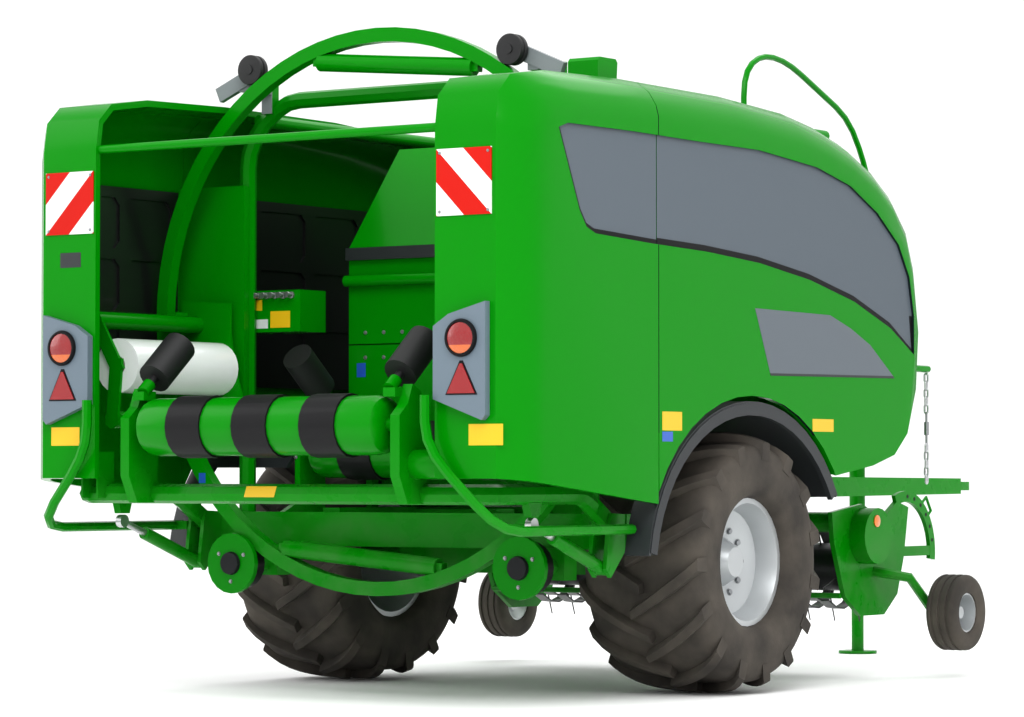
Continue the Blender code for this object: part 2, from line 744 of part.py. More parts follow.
# Chassis: two rails over the axle, a wide rear beam and the brackets that it carries
rail_foot = AXLE_Z + AXLE_SIZE / 2 + GAP
beam_front = BEAM_Y + BEAM_DEPTH / 2
beam_rear = BEAM_Y - BEAM_DEPTH / 2
chassis = [block(
    (-BEAM_HALF, beam_rear, BEAM_BOTTOM_Z), (BEAM_HALF, beam_front, BEAM_TOP_Z),
)]
for word, sign in SIDES:
    low_x, high_x = sorted((sign * (RAIL_X - RAIL_WIDTH / 2), sign * (RAIL_X + RAIL_WIDTH / 2)))
    chassis.append(block((low_x, RAIL_REAR_Y - SINK, rail_foot), (high_x, RAIL_FRONT_Y, RAIL_TOP_Z)))
    chassis.append(rod(
        (sign * LOW_WHEEL_X, beam_rear + SINK, LOW_WHEEL_Z),
        (sign * LOW_WHEEL_X, RING_Y + LOW_WHEEL_WIDTH / 2 + GAP, LOW_WHEEL_Z), LOW_STUB_R,
    ))
    low_x, high_x = sorted((sign * (LOW_WHEEL_X - 0.07), sign * (LOW_WHEEL_X + 0.07)))
    chassis.append(block(
        (low_x, beam_rear - 0.02, LOW_WHEEL_Z - 0.06), (high_x, beam_front, BEAM_BOTTOM_Z + SINK),
    ))
    low_x, high_x = sorted((sign * SUPPORT_X, sign * (SUPPORT_X + FRONT_SUPPORT_WALL)))
    chassis.append(plate(
        [
            (beam_rear + SINK, BEAM_BOTTOM_Z + SINK), (FRONT_SUPPORT_FRONT_Y, BEAM_TOP_Z),
            (FRONT_SUPPORT_FRONT_Y, FRONT_ROLLER_Z + 0.08), (FRONT_SIDE_Y + 0.05, FRONT_SIDE_Z - 0.04),
            (FRONT_SIDE_Y - 0.05, FRONT_SIDE_Z - 0.04), (FRONT_SUPPORT_REAR_Y, FRONT_ROLLER_Z + 0.08),
            (FRONT_SUPPORT_REAR_Y, BEAM_TOP_Z + 0.05), (beam_rear + SINK, BEAM_TOP_Z - SINK),
        ],
        "X", low_x, high_x,
    ))
    tilt = math.radians(SIDE_ROLLER_LEAN_DEG)
    seat_way = Vector((0, -math.sin(tilt), math.cos(tilt)))
    seat = Vector((sign * SIDE_ROLLER_X, FRONT_SIDE_Y, FRONT_SIDE_Z))
    chassis.append(rod(seat - seat_way * GAP, seat - seat_way * 0.06, 0.03, 12))
    low_x, high_x = sorted((sign * (SIDE_ROLLER_X - 0.02), sign * (SUPPORT_X + SINK)))
    chassis.append(block(
        (low_x, FRONT_SIDE_Y - 0.02, FRONT_SIDE_Z - 0.075), (high_x, FRONT_SIDE_Y + 0.065, FRONT_SIDE_Z - 0.035),
    ))
    for offset in (-1, 1):
        near = TABLE_TUBE_X + offset * (TIP_BOSS_HALF + GAP)
        far = near + offset * TIP_EAR_WALL
        low_x, high_x = sorted((sign * near, sign * far))
        chassis.append(plate(
            [
                (beam_rear + SINK, BEAM_TOP_Z), (TIP_PIVOT_Y - 0.04, BEAM_TOP_Z + 0.005),
                (TIP_PIVOT_Y - 0.06, TIP_PIVOT_Z), (RAM_BASE_Y - 0.04, RAM_BASE_Z),
                (RAM_BASE_Y, RAM_BASE_Z - 0.04), (beam_rear + SINK, BEAM_BOTTOM_Z + SINK),
            ],
            "X", low_x, high_x,
        ))
    post_x = CHAMBER_HALF + CLEAR
    low_x, high_x = sorted((sign * (RAIL_X + RAIL_WIDTH / 2 - SINK), sign * (post_x + POST_WALL)))
    chassis.append(block(
        (low_x, POST_Y - POST_DEPTH / 2, RAIL_TOP_Z - POST_DEPTH - SINK),
        (high_x, POST_Y + POST_DEPTH / 2, RAIL_TOP_Z - SINK),
    ))
    low_x, high_x = sorted((sign * post_x, sign * (post_x + POST_WALL - SINK / 2)))
    chassis.append(block(
        (low_x, POST_Y - POST_DEPTH / 2 + SINK / 2, RAIL_TOP_Z - POST_DEPTH),
        (high_x, POST_Y + POST_DEPTH / 2 - SINK / 2, POST_TOP_Z - SINK / 2),
    ))
    low_x, high_x = sorted((sign * (post_x + SINK / 2), sign * (GUARD_INNER_X - GAP)))
    chassis.append(block(
        (low_x, POST_Y - POST_DEPTH / 2, POST_TOP_Z - POST_WALL), (high_x, POST_Y + POST_DEPTH / 2, POST_TOP_Z),
    ))
for share in CROSS_SHARES:
    middle = RAIL_REAR_Y + (RAIL_FRONT_Y - RAIL_REAR_Y) * share
    chassis.append(block(
        (-RAIL_X, middle - CROSS_DEPTH / 2, rail_foot + 0.01), (RAIL_X, middle + CROSS_DEPTH / 2, RAIL_TOP_Z - 0.01),
    ))
node("chassis_frame", PAINT, chassis)

# Drawbar: a tapered box beam with an eye at its tip, on the front cross member
bar_tip = HITCH_TIP_Y - EYE_R - EYE_NECK
yoke_front = RAIL_FRONT_Y + YOKE_WALL
bar = plate(
    [
        (yoke_front - SINK, BAR_Z - BAR_HEIGHT / 2), (bar_tip, BAR_Z - BAR_TIP_HEIGHT / 2),
        (bar_tip, BAR_Z + BAR_TIP_HEIGHT / 2), (yoke_front - SINK, BAR_Z + BAR_HEIGHT / 2),
    ],
    "X", -BAR_WIDTH / 2, BAR_WIDTH / 2,
)
yoke = block(
    (-RAIL_X - RAIL_WIDTH / 2, RAIL_FRONT_Y + GAP, RAIL_TOP_Z - YOKE_DROP),
    (RAIL_X + RAIL_WIDTH / 2, yoke_front, BAR_Z + BAR_HEIGHT / 2 - SINK),
)
neck = block(
    (-EYE_R, bar_tip - SINK, BAR_Z - EYE_THICKNESS / 2),
    (EYE_R, HITCH_TIP_Y - EYE_R, BAR_Z + EYE_THICKNESS / 2),
)
eye_place = (0, HITCH_TIP_Y - EYE_R)
eye = rod((*eye_place, BAR_Z - EYE_THICKNESS / 2), (*eye_place, BAR_Z + EYE_THICKNESS / 2), EYE_R, 24)
jack_mount = block(
    (JACK_X + JACK_SLEEVE_R + GAP, JACK_Y - 0.06, BAR_Z - 0.04), (0, JACK_Y + 0.06, BAR_Z + 0.04),
)
ears = []
for sign in (-1, 1):
    low_x, high_x = sorted((sign * (RAIL_X - EAR_WALL), sign * RAIL_X))
    ears.append(plate(
        [
            (yoke_front - SINK, PICKUP_PIVOT_Z - 0.06), (PICKUP_PIVOT_Y + 0.03, PICKUP_PIVOT_Z - EAR_R),
            (PICKUP_PIVOT_Y + EAR_R, PICKUP_PIVOT_Z - 0.03), (PICKUP_PIVOT_Y + EAR_R, PICKUP_PIVOT_Z + 0.03),
            (PICKUP_PIVOT_Y + 0.03, PICKUP_PIVOT_Z + EAR_R), (yoke_front - SINK, PICKUP_PIVOT_Z + EAR_R),
        ],
        "X", low_x, high_x,
    ))
tube_bore = rod(
    (-RAIL_X - OVERRUN, PICKUP_PIVOT_Y, PICKUP_PIVOT_Z), (RAIL_X + OVERRUN, PICKUP_PIVOT_Y, PICKUP_PIVOT_Z),
    round_bore(PICKUP_TUBE_R, 24), 24,
)
eye_bore = rod((*eye_place, BAR_Z - EYE_THICKNESS), (*eye_place, BAR_Z + EYE_THICKNESS), EYE_BORE_R, 20)
node("drawbar", PAINT, [bar, yoke, neck, eye, jack_mount, *ears], [eye_bore, tube_bore])

# Parking jack: its sleeve swings on a pin at the drawbar's left side
jack_holder = pivot("jack_pivot", (JACK_X, JACK_Y, BAR_Z))
jack_shapes = [
    rod((JACK_X, JACK_Y, JACK_FOOT_THICKNESS - SINK / 2), (JACK_X, JACK_Y, BAR_Z), JACK_R, 16),
    rod(
        (JACK_X, JACK_Y, JACK_TOP_Z - JACK_SLEEVE_LENGTH - 0.12), (JACK_X, JACK_Y, JACK_TOP_Z),
        JACK_SLEEVE_R, 16,
    ),
    rod((JACK_X, JACK_Y, 0), (JACK_X, JACK_Y, JACK_FOOT_THICKNESS), JACK_FOOT_R, 16),
]
node("parking_jack", PAINT, jack_shapes, parent=jack_holder)


# Side shells: one rounded shell a side, parted into a fixed rear panel and a lifting door
def shell_outline():
    """Rear foot, up the rear edge, along the roof, down the front and under it."""
    length = PANEL_FRONT_Y - PANEL_REAR_Y
    height = PANEL_TOP_Z - PANEL_FOOT_Z
    # share of the length from the rear, share of the height
    shares = (
        (0.0, 0.0), (0.0, 0.45), (0.0, 0.86), (0.006, 0.93), (0.030, 0.972), (0.10, 0.992), (0.26, 1.0),
        (0.50, 0.997), (0.66, 0.98), (0.74, 0.958), (0.81, 0.927), (0.875, 0.88), (0.925, 0.825),
        (0.963, 0.755), (0.985, 0.66), (1.0, 0.50), (0.992, 0.34), (0.965, 0.215), (0.925, 0.155),
        (0.86, 0.125), (0.74, 0.095), (0.70, 0.0),
    )
    return [(PANEL_REAR_Y + length * along, PANEL_FOOT_Z + height * up) for along, up in shares]


def shell():
    """The right-hand shell: an outer skin and an inner one a wall's thickness inside it."""
    length = PANEL_FRONT_Y - PANEL_REAR_Y
    height = PANEL_TOP_Z - PANEL_FOOT_Z
    # how far out from the crease, and how far the outline has drawn in, as shares
    round_shares = ((0.0, 0.0), (0.55, 0.30), (0.88, 0.68), (1.0, 1.0))
    outer = shell_outline()
    inner = shrunk(outer, PANEL_WALL)
    inner[0] = (inner[0][0], PANEL_FOOT_Z)
    inner[-1] = (inner[-1][0], PANEL_FOOT_Z)
    work = bmesh.new()
    skins = []
    for outline, wall in ((outer, 0.0), (inner, PANEL_WALL)):
        rows = [[work.verts.new((PANEL_INNER_X, *point)) for point in outline]]
        for out_share, in_share in round_shares:
            row = []
            for along, up in outline:
                rear = PANEL_ROUND_REAR - (PANEL_ROUND_REAR + PANEL_ROUND_FRONT) * (along - PANEL_REAR_Y) / length
                drop = PANEL_ROUND_TOP * (up - PANEL_FOOT_Z) / height
                row.append(work.verts.new((
                    PANEL_X - PANEL_ROUND_X * (1 - out_share) - wall, along + rear * in_share, up - drop * in_share,
                )))
            rows.append(row)
        skins.append(rows)
        for this, following in zip(rows, rows[1:]):
            for near in range(len(outline) - 1):
                work.faces.new((this[near], this[near + 1], following[near + 1], following[near]))
        work.faces.new(rows[-1])
    for column in (0, len(outer) - 1):
        for outside, inside, outside_next, inside_next in zip(skins[0], skins[1], skins[0][1:], skins[1][1:]):
            work.faces.new((outside[column], outside_next[column], inside_next[column], inside[column]))
    for near in range(len(outer) - 1):
        work.faces.new((skins[0][0][near], skins[0][0][near + 1], skins[1][0][near + 1], skins[1][0][near]))
    work.faces.new((skins[0][-1][0], skins[0][-1][-1], skins[1][-1][-1], skins[1][-1][0]))
    bmesh.ops.triangulate(work, faces=[face for face in work.faces if len(face.verts) > 4])
    return from_bmesh("shell", work)


def arch_cut():
    """The opening over the road wheel, down past the shell's foot."""
    run = ellipse((ARCH_Y, ARCH_Z), (ARCH_HALF_LENGTH, ARCH_HEIGHT), 0, 180, 20)
    run += [(run[-1][0], 0.0), (run[0][0], 0.0)]
    return plate(run, "X", PANEL_INNER_X - OVERRUN, PANEL_X + OVERRUN)


def foot_cut():
    """The rear panel's sloping foot."""
    rear = PANEL_REAR_Y - OVERRUN
    rise = (PANEL_REAR_FOOT_Z - PANEL_SEAM_FOOT_Z) / (SEAM_Y - PANEL_REAR_Y)
    return plate(
        [
            (rear, PANEL_REAR_FOOT_Z + rise * OVERRUN), (rear, 0.0),
            (SEAM_Y + OVERRUN, 0.0), (SEAM_Y + OVERRUN, PANEL_SEAM_FOOT_Z - rise * OVERRUN),
        ],
        "X", PANEL_INNER_X - OVERRUN, PANEL_X + OVERRUN,
    )


def seam_cut(low, high):
    """Everything of the shell between two fore and aft places."""
    return block(
        (PANEL_INNER_X - OVERRUN, low, -OVERRUN), (PANEL_X + OVERRUN, high, PANEL_TOP_Z + OVERRUN),
    )


def recess_cut():
    """The shallow sunk field along the side, under the roof's rounding."""
    length = PANEL_FRONT_Y - PANEL_REAR_Y
    height = PANEL_TOP_Z - PANEL_FOOT_Z
    shares = (
        (0.085, 0.86), (0.105, 0.872), (0.25, 0.874), (0.40, 0.872), (0.55, 0.872), (0.70, 0.85),
        (0.79, 0.815), (0.865, 0.755), (0.925, 0.68), (0.955, 0.60), (0.968, 0.50), (0.968, 0.40),
        (0.90, 0.465), (0.80, 0.525), (0.68, 0.57), (0.55, 0.60), (0.42, 0.615), (0.29, 0.622),
        (0.165, 0.632), (0.145, 0.645), (0.13, 0.68),
    )
    run = [(PANEL_REAR_Y + length * along, PANEL_FOOT_Z + height * up) for along, up in shares]
    return plate(run, "X", PANEL_X - RECESS_DEPTH, PANEL_X + OVERRUN)


def side(word, sign, made):
    """Mirror a right-hand shape if it belongs on the left."""
    return mirrored(made) if sign < 0 else made


door_clear = CLEAR / 2
for word, sign in SIDES:
    node(
        f"rear_panel_{word}", PAINT, [side(word, sign, shell())],
        [side(word, sign, cut) for cut in (
            seam_cut(SEAM_Y - door_clear, PANEL_FRONT_Y + OVERRUN), foot_cut(), recess_cut(),
        )],
    )
hinge_x = PANEL_INNER_X - ROOF_RAIL_R - GAP
for word, sign in SIDES:
    door_holder = pivot(f"door_pivot_{word}", (sign * hinge_x, 0, ROOF_RAIL_Z))
    node(
        f"side_door_{word}", PAINT, [side(word, sign, shell())],
        [side(word, sign, cut) for cut in (
            seam_cut(PANEL_REAR_Y - OVERRUN, SEAM_Y + door_clear), arch_cut(), recess_cut(),
        )],
        parent=door_holder,
    )


# Liners: moulded grids on the inner side of the panels
def liner(rear, front, columns):
    """A flat moulding with rows of pockets through it, on the inner face of the side."""
    inner = PANEL_X - PANEL_WALL - GAP
    body = block((inner - LINER_WALL, rear, LINER_FOOT_Z), (inner, front, LINER_TOP_Z))
    wide = (front - rear - LINER_RIB) / columns
    tall = (LINER_TOP_Z - LINER_FOOT_Z - LINER_RIB) / LINER_ROWS
    pockets = []
    for column in range(columns):
        for row in range(LINER_ROWS):
            low_y = rear + LINER_RIB + wide * column
            low_z = LINER_FOOT_Z + LINER_RIB + tall * row
            high_y, high_z = low_y + wide - LINER_RIB, low_z + tall - LINER_RIB
            outline = [
                (low_y + LINER_CORNER, low_z), (high_y - LINER_CORNER, low_z), (high_y, low_z + LINER_CORNER),
                (high_y, high_z - LINER_CORNER), (high_y - LINER_CORNER, high_z), (low_y + LINER_CORNER, high_z),
                (low_y, high_z - LINER_CORNER), (low_y, low_z + LINER_CORNER),
            ]
            pockets.append(plate(outline, "X", inner - LINER_WALL - OVERRUN, inner - LINER_WALL * 0.35))
    return body, pockets


for word, sign in SIDES:
    body, pockets = liner(LINER_REAR_Y, SEAM_Y - LINER_FRONT_GAP, LINER_COLUMNS_REAR)
    node(f"rear_liner_{word}", LINER, [side(word, sign, body)], [side(word, sign, cut) for cut in pockets])
    body, pockets = liner(SEAM_Y + LINER_FRONT_GAP, LINER_FRONT_Y, LINER_COLUMNS_FRONT)
    holder = bpy.data.objects[f"door_pivot_{word}"]
    node(
        f"door_liner_{word}", LINER, [side(word, sign, body)], [side(word, sign, cut) for cut in pockets],
        parent=holder,
    )

# Mudguards: an arched sheet with a rolled outer lip
for word, sign in SIDES:
    reach_rear = math.degrees(math.asin((GUARD_REAR_Z - ARCH_Z) / GUARD_HEIGHT))
    reach_front = math.degrees(math.asin((GUARD_FRONT_Z - ARCH_Z) / GUARD_HEIGHT))
    run = ellipse((ARCH_Y, ARCH_Z), (GUARD_HALF_LENGTH, GUARD_HEIGHT), reach_front, 180 - reach_rear, 20)
    sheet = plate(arc_strip(run, GUARD_WALL), "X", GUARD_INNER_X, GUARD_OUTER_X)
    lip_run = ellipse(
        (ARCH_Y, ARCH_Z), (GUARD_HALF_LENGTH - GUARD_WALL / 2, GUARD_HEIGHT - GUARD_WALL / 2),
        reach_front + 1, 179 - reach_rear, 20,
    )
    lip = plate(arc_strip(lip_run, GUARD_LIP), "X", GUARD_OUTER_X - GUARD_WALL, GUARD_OUTER_X + SINK)
    notch = block(
        (GUARD_INNER_X - OVERRUN, ARCH_Y - GUARD_HALF_LENGTH - OVERRUN, GUARD_REAR_Z - OVERRUN),
        (GUARD_NOTCH_X, ARCH_Y, GUARD_NOTCH_Z),
    )
    node(
        f"mudguard_{word}", PLASTIC, [side(word, sign, sheet), side(word, sign, lip)],
        [side(word, sign, notch)],
    )

# Hoop: two legs on the rear beam, the arch over the chamber, and the roof rails that carry the doors
hoop_route = []
for sign in (-1, 1):
    leg = [
        (sign * HOOP_X, HOOP_Y, BEAM_TOP_Z + GAP), (sign * HOOP_X, HOOP_Y, HOOP_BEND_Z),
        (sign * HOOP_SHOULDER_X, HOOP_Y, HOOP_SHOULDER_Z), (sign * HOOP_TOP_X, HOOP_Y, HOOP_TOP_Z),
    ]
    hoop_route += leg if sign < 0 else leg[::-1]
hoop = [pipe(hoop_route, HOOP_R, 2, bend=0.07, bend_steps=2)]
for word, sign in SIDES:
    hoop.append(rod(
        (sign * hinge_x, HOOP_Y, ROOF_RAIL_Z), (sign * hinge_x, ROOF_RAIL_FRONT_Y, ROOF_RAIL_Z), ROOF_RAIL_R, 12,
    ))
    inner = hinge_x - ROOF_RAIL_R
    low_x, high_x = sorted((sign * (HAND_X - 0.025), sign * (inner + SINK)))
    if sign > 0:
        hoop.append(block(
            (low_x, HAND_REAR_Y - 0.03, ROOF_RAIL_Z - 0.02), (high_x, HAND_REAR_Y + 0.03, ROOF_RAIL_Z + 0.02),
        ))
    arm_low = (sign * TOP_PULLEY_X, TOP_PULLEY_Z)
    arm_high = (sign * TOP_ARM_X, TOP_ARM_Z)
    way = (Vector(arm_high) - Vector(arm_low)).normalized()
    across = Vector((-way.y, way.x)) * TOP_ARM_WIDTH / 2
    ends = (Vector(arm_low) - way * TOP_ARM_WIDTH / 2, Vector(arm_high))
    arm_rear = RING_Y + TOP_PULLEY_WIDTH / 2 + GAP
    hoop.append(plate(
        [tuple(ends[0] - across), tuple(ends[1] - across), tuple(ends[1] + across), tuple(ends[0] + across)],
        "Y", arm_rear, arm_rear + TOP_ARM_WALL,
    ))
    low_x, high_x = sorted((sign * TOP_MOUNT_INNER_X, sign * TOP_MOUNT_OUTER_X))
    hoop.append(block(
        (low_x, arm_rear + SINK, TOP_MOUNT_Z), (high_x, HOOP_Y - HOOP_R - SINK, TOP_MOUNT_TOP_Z),
    ))
    hoop.append(block(
        (low_x, HOOP_Y - HOOP_R - SINK * 4, HOOP_SHOULDER_Z + HOOP_R), (high_x, HOOP_Y, TOP_MOUNT_TOP_Z),
    ))
node("hoop_frame", PAINT, hoop)

# Bulkheads: plates between the hoop's legs and the rear panels
liner_face = PANEL_X - PANEL_WALL - GAP - LINER_WALL
bulkhead_front = SEAM_Y - door_clear - CLEAR
for word, sign in SIDES:
    low_x, high_x = sorted((sign * (HOOP_X - HOOP_R), sign * (PANEL_X - PANEL_WALL - GAP)))
    sheet = block(
        (low_x, bulkhead_front - BULKHEAD_WALL, BULKHEAD_FOOT_Z), (high_x, bulkhead_front, BULKHEAD_TOP_Z),
    )
    low_x, high_x = sorted((sign * (HOOP_X - HOOP_R + SINK), sign * (HOOP_X + HOOP_R)))
    spacer = block(
        (low_x, bulkhead_front - SINK, BULKHEAD_FOOT_Z + SINK),
        (high_x, HOOP_Y - HOOP_R - GAP, BULKHEAD_TOP_Z - SINK),
    )
    node(f"bulkhead_{word}", PAINT, [sheet, spacer])

# Cross tube between the rear panels
node("top_cross_tube", PAINT, [rod(
    (-PANEL_INNER_X + GAP, TOP_TUBE_Y, TOP_TUBE_Z), (PANEL_INNER_X - GAP, TOP_TUBE_Y, TOP_TUBE_Z), TOP_TUBE_R, 12,
)])

# Bale chamber: a fixed lower half and an upper half that lifts about its front top edge
lower = [
    (CHAMBER_REAR_Y, CHAMBER_SPLIT_Z), (CHAMBER_REAR_Y, CHAMBER_SIDE_FOOT_Z),
    (CHAMBER_FOOT_REAR_Y, RAIL_TOP_Z + GAP), (CHAMBER_FOOT_FRONT_Y, RAIL_TOP_Z + GAP),
    (CHAMBER_FRONT_Y, CHAMBER_SIDE_FOOT_Z), (CHAMBER_FRONT_Y, CHAMBER_SPLIT_Z),
]
inner = shrunk(lower, CHAMBER_WALL)
inner[0] = (inner[0][0], CHAMBER_SPLIT_Z + OVERRUN)
inner[-1] = (inner[-1][0], CHAMBER_SPLIT_Z + OVERRUN)
node("chamber_lower", PAINT, [plate(lower, "X", -CHAMBER_HALF, CHAMBER_HALF)], [
    plate(inner, "X", -CHAMBER_HALF + CHAMBER_WALL, CHAMBER_HALF - CHAMBER_WALL),
])
upper_foot = CHAMBER_SPLIT_Z + CLEAR
upper = [
    (CHAMBER_REAR_Y, upper_foot), (CHAMBER_FRONT_Y, upper_foot), (CHAMBER_FRONT_Y, CHAMBER_SHOULDER_Z),
    (CHAMBER_TOP_FRONT_Y, CHAMBER_TOP_Z), (CHAMBER_TOP_REAR_Y, CHAMBER_TOP_Z), (CHAMBER_REAR_Y, CHAMBER_SHOULDER_Z),
]
gate_holder = pivot("gate_pivot", (0, GATE_PIVOT_Y, GATE_PIVOT_Z))
inner = shrunk(upper, CHAMBER_WALL)
inner[0] = (inner[0][0], upper_foot - OVERRUN)
inner[1] = (inner[1][0], upper_foot - OVERRUN)
node("chamber_upper", PAINT, [plate(upper, "X", -CHAMBER_HALF, CHAMBER_HALF)], [
    plate(inner, "X", -CHAMBER_HALF + CHAMBER_WALL, CHAMBER_HALF - CHAMBER_WALL),
], parent=gate_holder)

# Front cover: a sheet frame across the front, with the lift chain's arm and the handrail's foot
cover = [block(
    (-COVER_HALF, COVER_REAR_Y, COVER_FOOT_Z), (COVER_HALF, COVER_REAR_Y + COVER_WALL, COVER_TOP_Z),
)]
cover.append(pipe(
    [
        (CHAIN_X - 0.25, COVER_REAR_Y + COVER_WALL - SINK, CHAIN_TOP_Z), (CHAIN_X - 0.25, CHAIN_ARM_Y, CHAIN_TOP_Z),
        (CHAIN_X, CHAIN_ARM_Y, CHAIN_TOP_Z), (CHAIN_X, CHAIN_Y, CHAIN_TOP_Z),
    ],
    CHAIN_ARM_R, 2, bend=0.03, bend_steps=2,
))
cover.append(block(
    (HAND_X - 0.02, COVER_REAR_Y + COVER_WALL - SINK, HAND_FOOT_Z - 0.03),
    (HAND_X + 0.02, HAND_END_Y + RAIL_TUBE_R, HAND_FOOT_Z - GAP),
))
for word, sign in SIDES:
    low_x, high_x = sorted((sign * (RAIL_X - RAIL_WIDTH / 2), sign * (RAIL_X + RAIL_WIDTH / 2)))
    cover.append(block(
        (low_x, CHAMBER_FRONT_Y + GAP, COVER_FOOT_Z), (high_x, COVER_REAR_Y + SINK, CHAMBER_SPLIT_Z),
    ))
    cover.append(block(
        (low_x, GATE_PIVOT_Y, GATE_PIVOT_Z - GATE_EAR_HEIGHT / 2),
        (high_x, COVER_REAR_Y + SINK, GATE_PIVOT_Z + GATE_EAR_HEIGHT / 2),
    ))
    low_x, high_x = sorted((sign * (hinge_x - ROOF_RAIL_R), sign * (COVER_HALF - SINK)))
    cover.append(block(
        (low_x, COVER_REAR_Y, COVER_TOP_Z - SINK), (high_x, COVER_REAR_Y + COVER_WALL, ROOF_RAIL_Z - ROOF_RAIL_R - GAP),
    ))
node("front_cover", PAINT, cover)

# Lift chain: hangs from its arm over the pickup
node("lift_chain", STEEL, [rod(
    (CHAIN_X, CHAIN_Y - CHAIN_ARM_R, CHAIN_TOP_Z - CHAIN_ARM_R - GAP),
    (CHAIN_X, CHAIN_Y - CHAIN_ARM_R, PICKUP_PIVOT_Z + 0.16), CHAIN_R, 8,
)])

# Handrail over the front steps
node("handrail", PAINT, [pipe(
    [
        (HAND_X, HAND_REAR_Y, ROOF_RAIL_Z + 0.02 + GAP), (HAND_X, HAND_REAR_Y, HAND_RISE_Z),
        (HAND_X, HAND_TOP_Y, HAND_TOP_Z), (HAND_X, HAND_MID_Y, HAND_TOP_Z - 0.01),
        (HAND_X, HAND_FALL_Y, HAND_FALL_Z), (HAND_X, HAND_END_Y, HAND_END_Z),
        (HAND_X, HAND_END_Y, HAND_FOOT_Z),
    ],
    RAIL_TUBE_R, 2, bend=0.16, bend_steps=3,
)])

# Valve box behind the left leg of the hoop
valve_rear = HOOP_Y + HOOP_R + GAP
node("valve_box", PAINT, [block(
    (VALVE_X - VALVE_LENGTH / 2, valve_rear, VALVE_Z - VALVE_HEIGHT / 2),
    (VALVE_X + VALVE_LENGTH / 2, valve_rear + VALVE_DEPTH, VALVE_Z + VALVE_HEIGHT / 2),
)])

# Wrapping ring with its two chord tubes and the two dispensers' frames
ring_holder = pivot("ring_pivot", (0, RING_Y, RING_Z))
ring_turn = Matrix.Rotation(math.radians(RING_TURN_DEG), 4, "Y")
inner_r = RING_R - RING_DEPTH
ring_shapes = [turned(
    [
        (inner_r, -RING_WIDTH / 2), (RING_R, -RING_WIDTH / 2),
        (RING_R, RING_WIDTH / 2), (inner_r, RING_WIDTH / 2),
    ],
    "Y", (0, RING_Y, RING_Z), RING_STEPS,
)]
ear_reach = math.sqrt(inner_r**2 - CHORD_HALF**2)
for up in (-1, 1):
    chord_z = RING_Z + up * CHORD_RADIUS
    ring_shapes.append(rod((-CHORD_HALF, RING_Y, chord_z), (CHORD_HALF, RING_Y, chord_z), CHORD_R, 14))
    for sign in (-1, 1):
        low_x, high_x = sorted((sign * (CHORD_HALF - CHORD_EAR), sign * (CHORD_HALF + CHORD_EAR)))
        low_z, high_z = sorted((chord_z - up * CHORD_R / 2, RING_Z + up * (ear_reach + 0.02)))
        ring_shapes.append(block((low_x, RING_Y - 0.02, low_z), (high_x, RING_Y + 0.02, high_z)))
for shape in ring_shapes[1:]:
    spun(shape, ring_turn, (0, RING_Y, RING_Z))
node("wrap_ring", PAINT, ring_shapes, parent=ring_holder)


def on_ring(radius, degrees, along):
    """A place on the ring; degrees run from the ring's own right-hand side, upwards."""
    angle = math.radians(degrees)
    return (radius * math.cos(angle), along, RING_Z + radius * math.sin(angle))


film_places = {"low": 180 + FILM_BELOW_DEG, "high": FILM_BELOW_DEG}
for word, degrees in film_places.items():
    plate_run = []
    for radius, way in ((PLATE_OUTER_R, 1), (PLATE_INNER_R, -1)):
        for step in range(5):
            turn = degrees + way * PLATE_SPAN_DEG * (step / 4 - 0.5)
            place = on_ring(radius, turn, 0)
            plate_run.append((place[0], place[2]))
    front = FILM_FRONT_Y + GAP
    rear = FILM_REAR_Y - GAP
    shapes = [plate(plate_run, "Y", front, front + ARM_WALL)]
    for way in (-1, 1):
        place = on_ring(STRETCH_RADIUS, degrees + way * STRETCH_DEG, 0)
        shapes.append(rod(
            (place[0], rear - ARM_WALL, place[2]), (place[0], front + SINK, place[2]), STRETCH_R, 14,
        ))
        near = Vector(on_ring(FILM_RADIUS, degrees, 0))
        far = Vector(place)
        line = (far - near).normalized()
        across = Vector((-line.z, 0, line.x)) * ARM_WIDTH / 2
        run = [near - across - line * ARM_WIDTH / 2, far - across, far + across, near + across - line * ARM_WIDTH / 2]
        shapes.append(plate([(p.x, p.z) for p in run], "Y", rear - ARM_WALL, rear))
    ring_front = RING_Y + RING_WIDTH / 2
    for way in (-1, 1):
        seat = on_ring(PLATE_OUTER_R - 0.025, degrees + way * PLATE_SPAN_DEG * 0.4, 0)
        shapes.append(rod(
            (seat[0], ring_front + GAP, seat[2]), (seat[0], front + SINK, seat[2]), 0.02, 10,
        ))
    centre = on_ring(FILM_RADIUS, degrees, 0)
    for shape in shapes:
        spun(shape, ring_turn, (0, 0, RING_Z))
    node(f"dispenser_{word}", PAINT, shapes, parent=ring_holder)
    film_place = ring_turn @ (Vector(centre) - Vector((0, 0, RING_Z))) + Vector((0, 0, RING_Z))
    film_holder = pivot(f"film_pivot_{word}", (film_place.x, RING_Y, film_place.z), ring_holder)
    node(
        f"film_roll_{word}", FILM,
        [rod(
            (film_place.x, FILM_REAR_Y, film_place.z), (film_place.x, FILM_FRONT_Y, film_place.z), FILM_R, 24,
        )],
        parent=film_holder,
    )

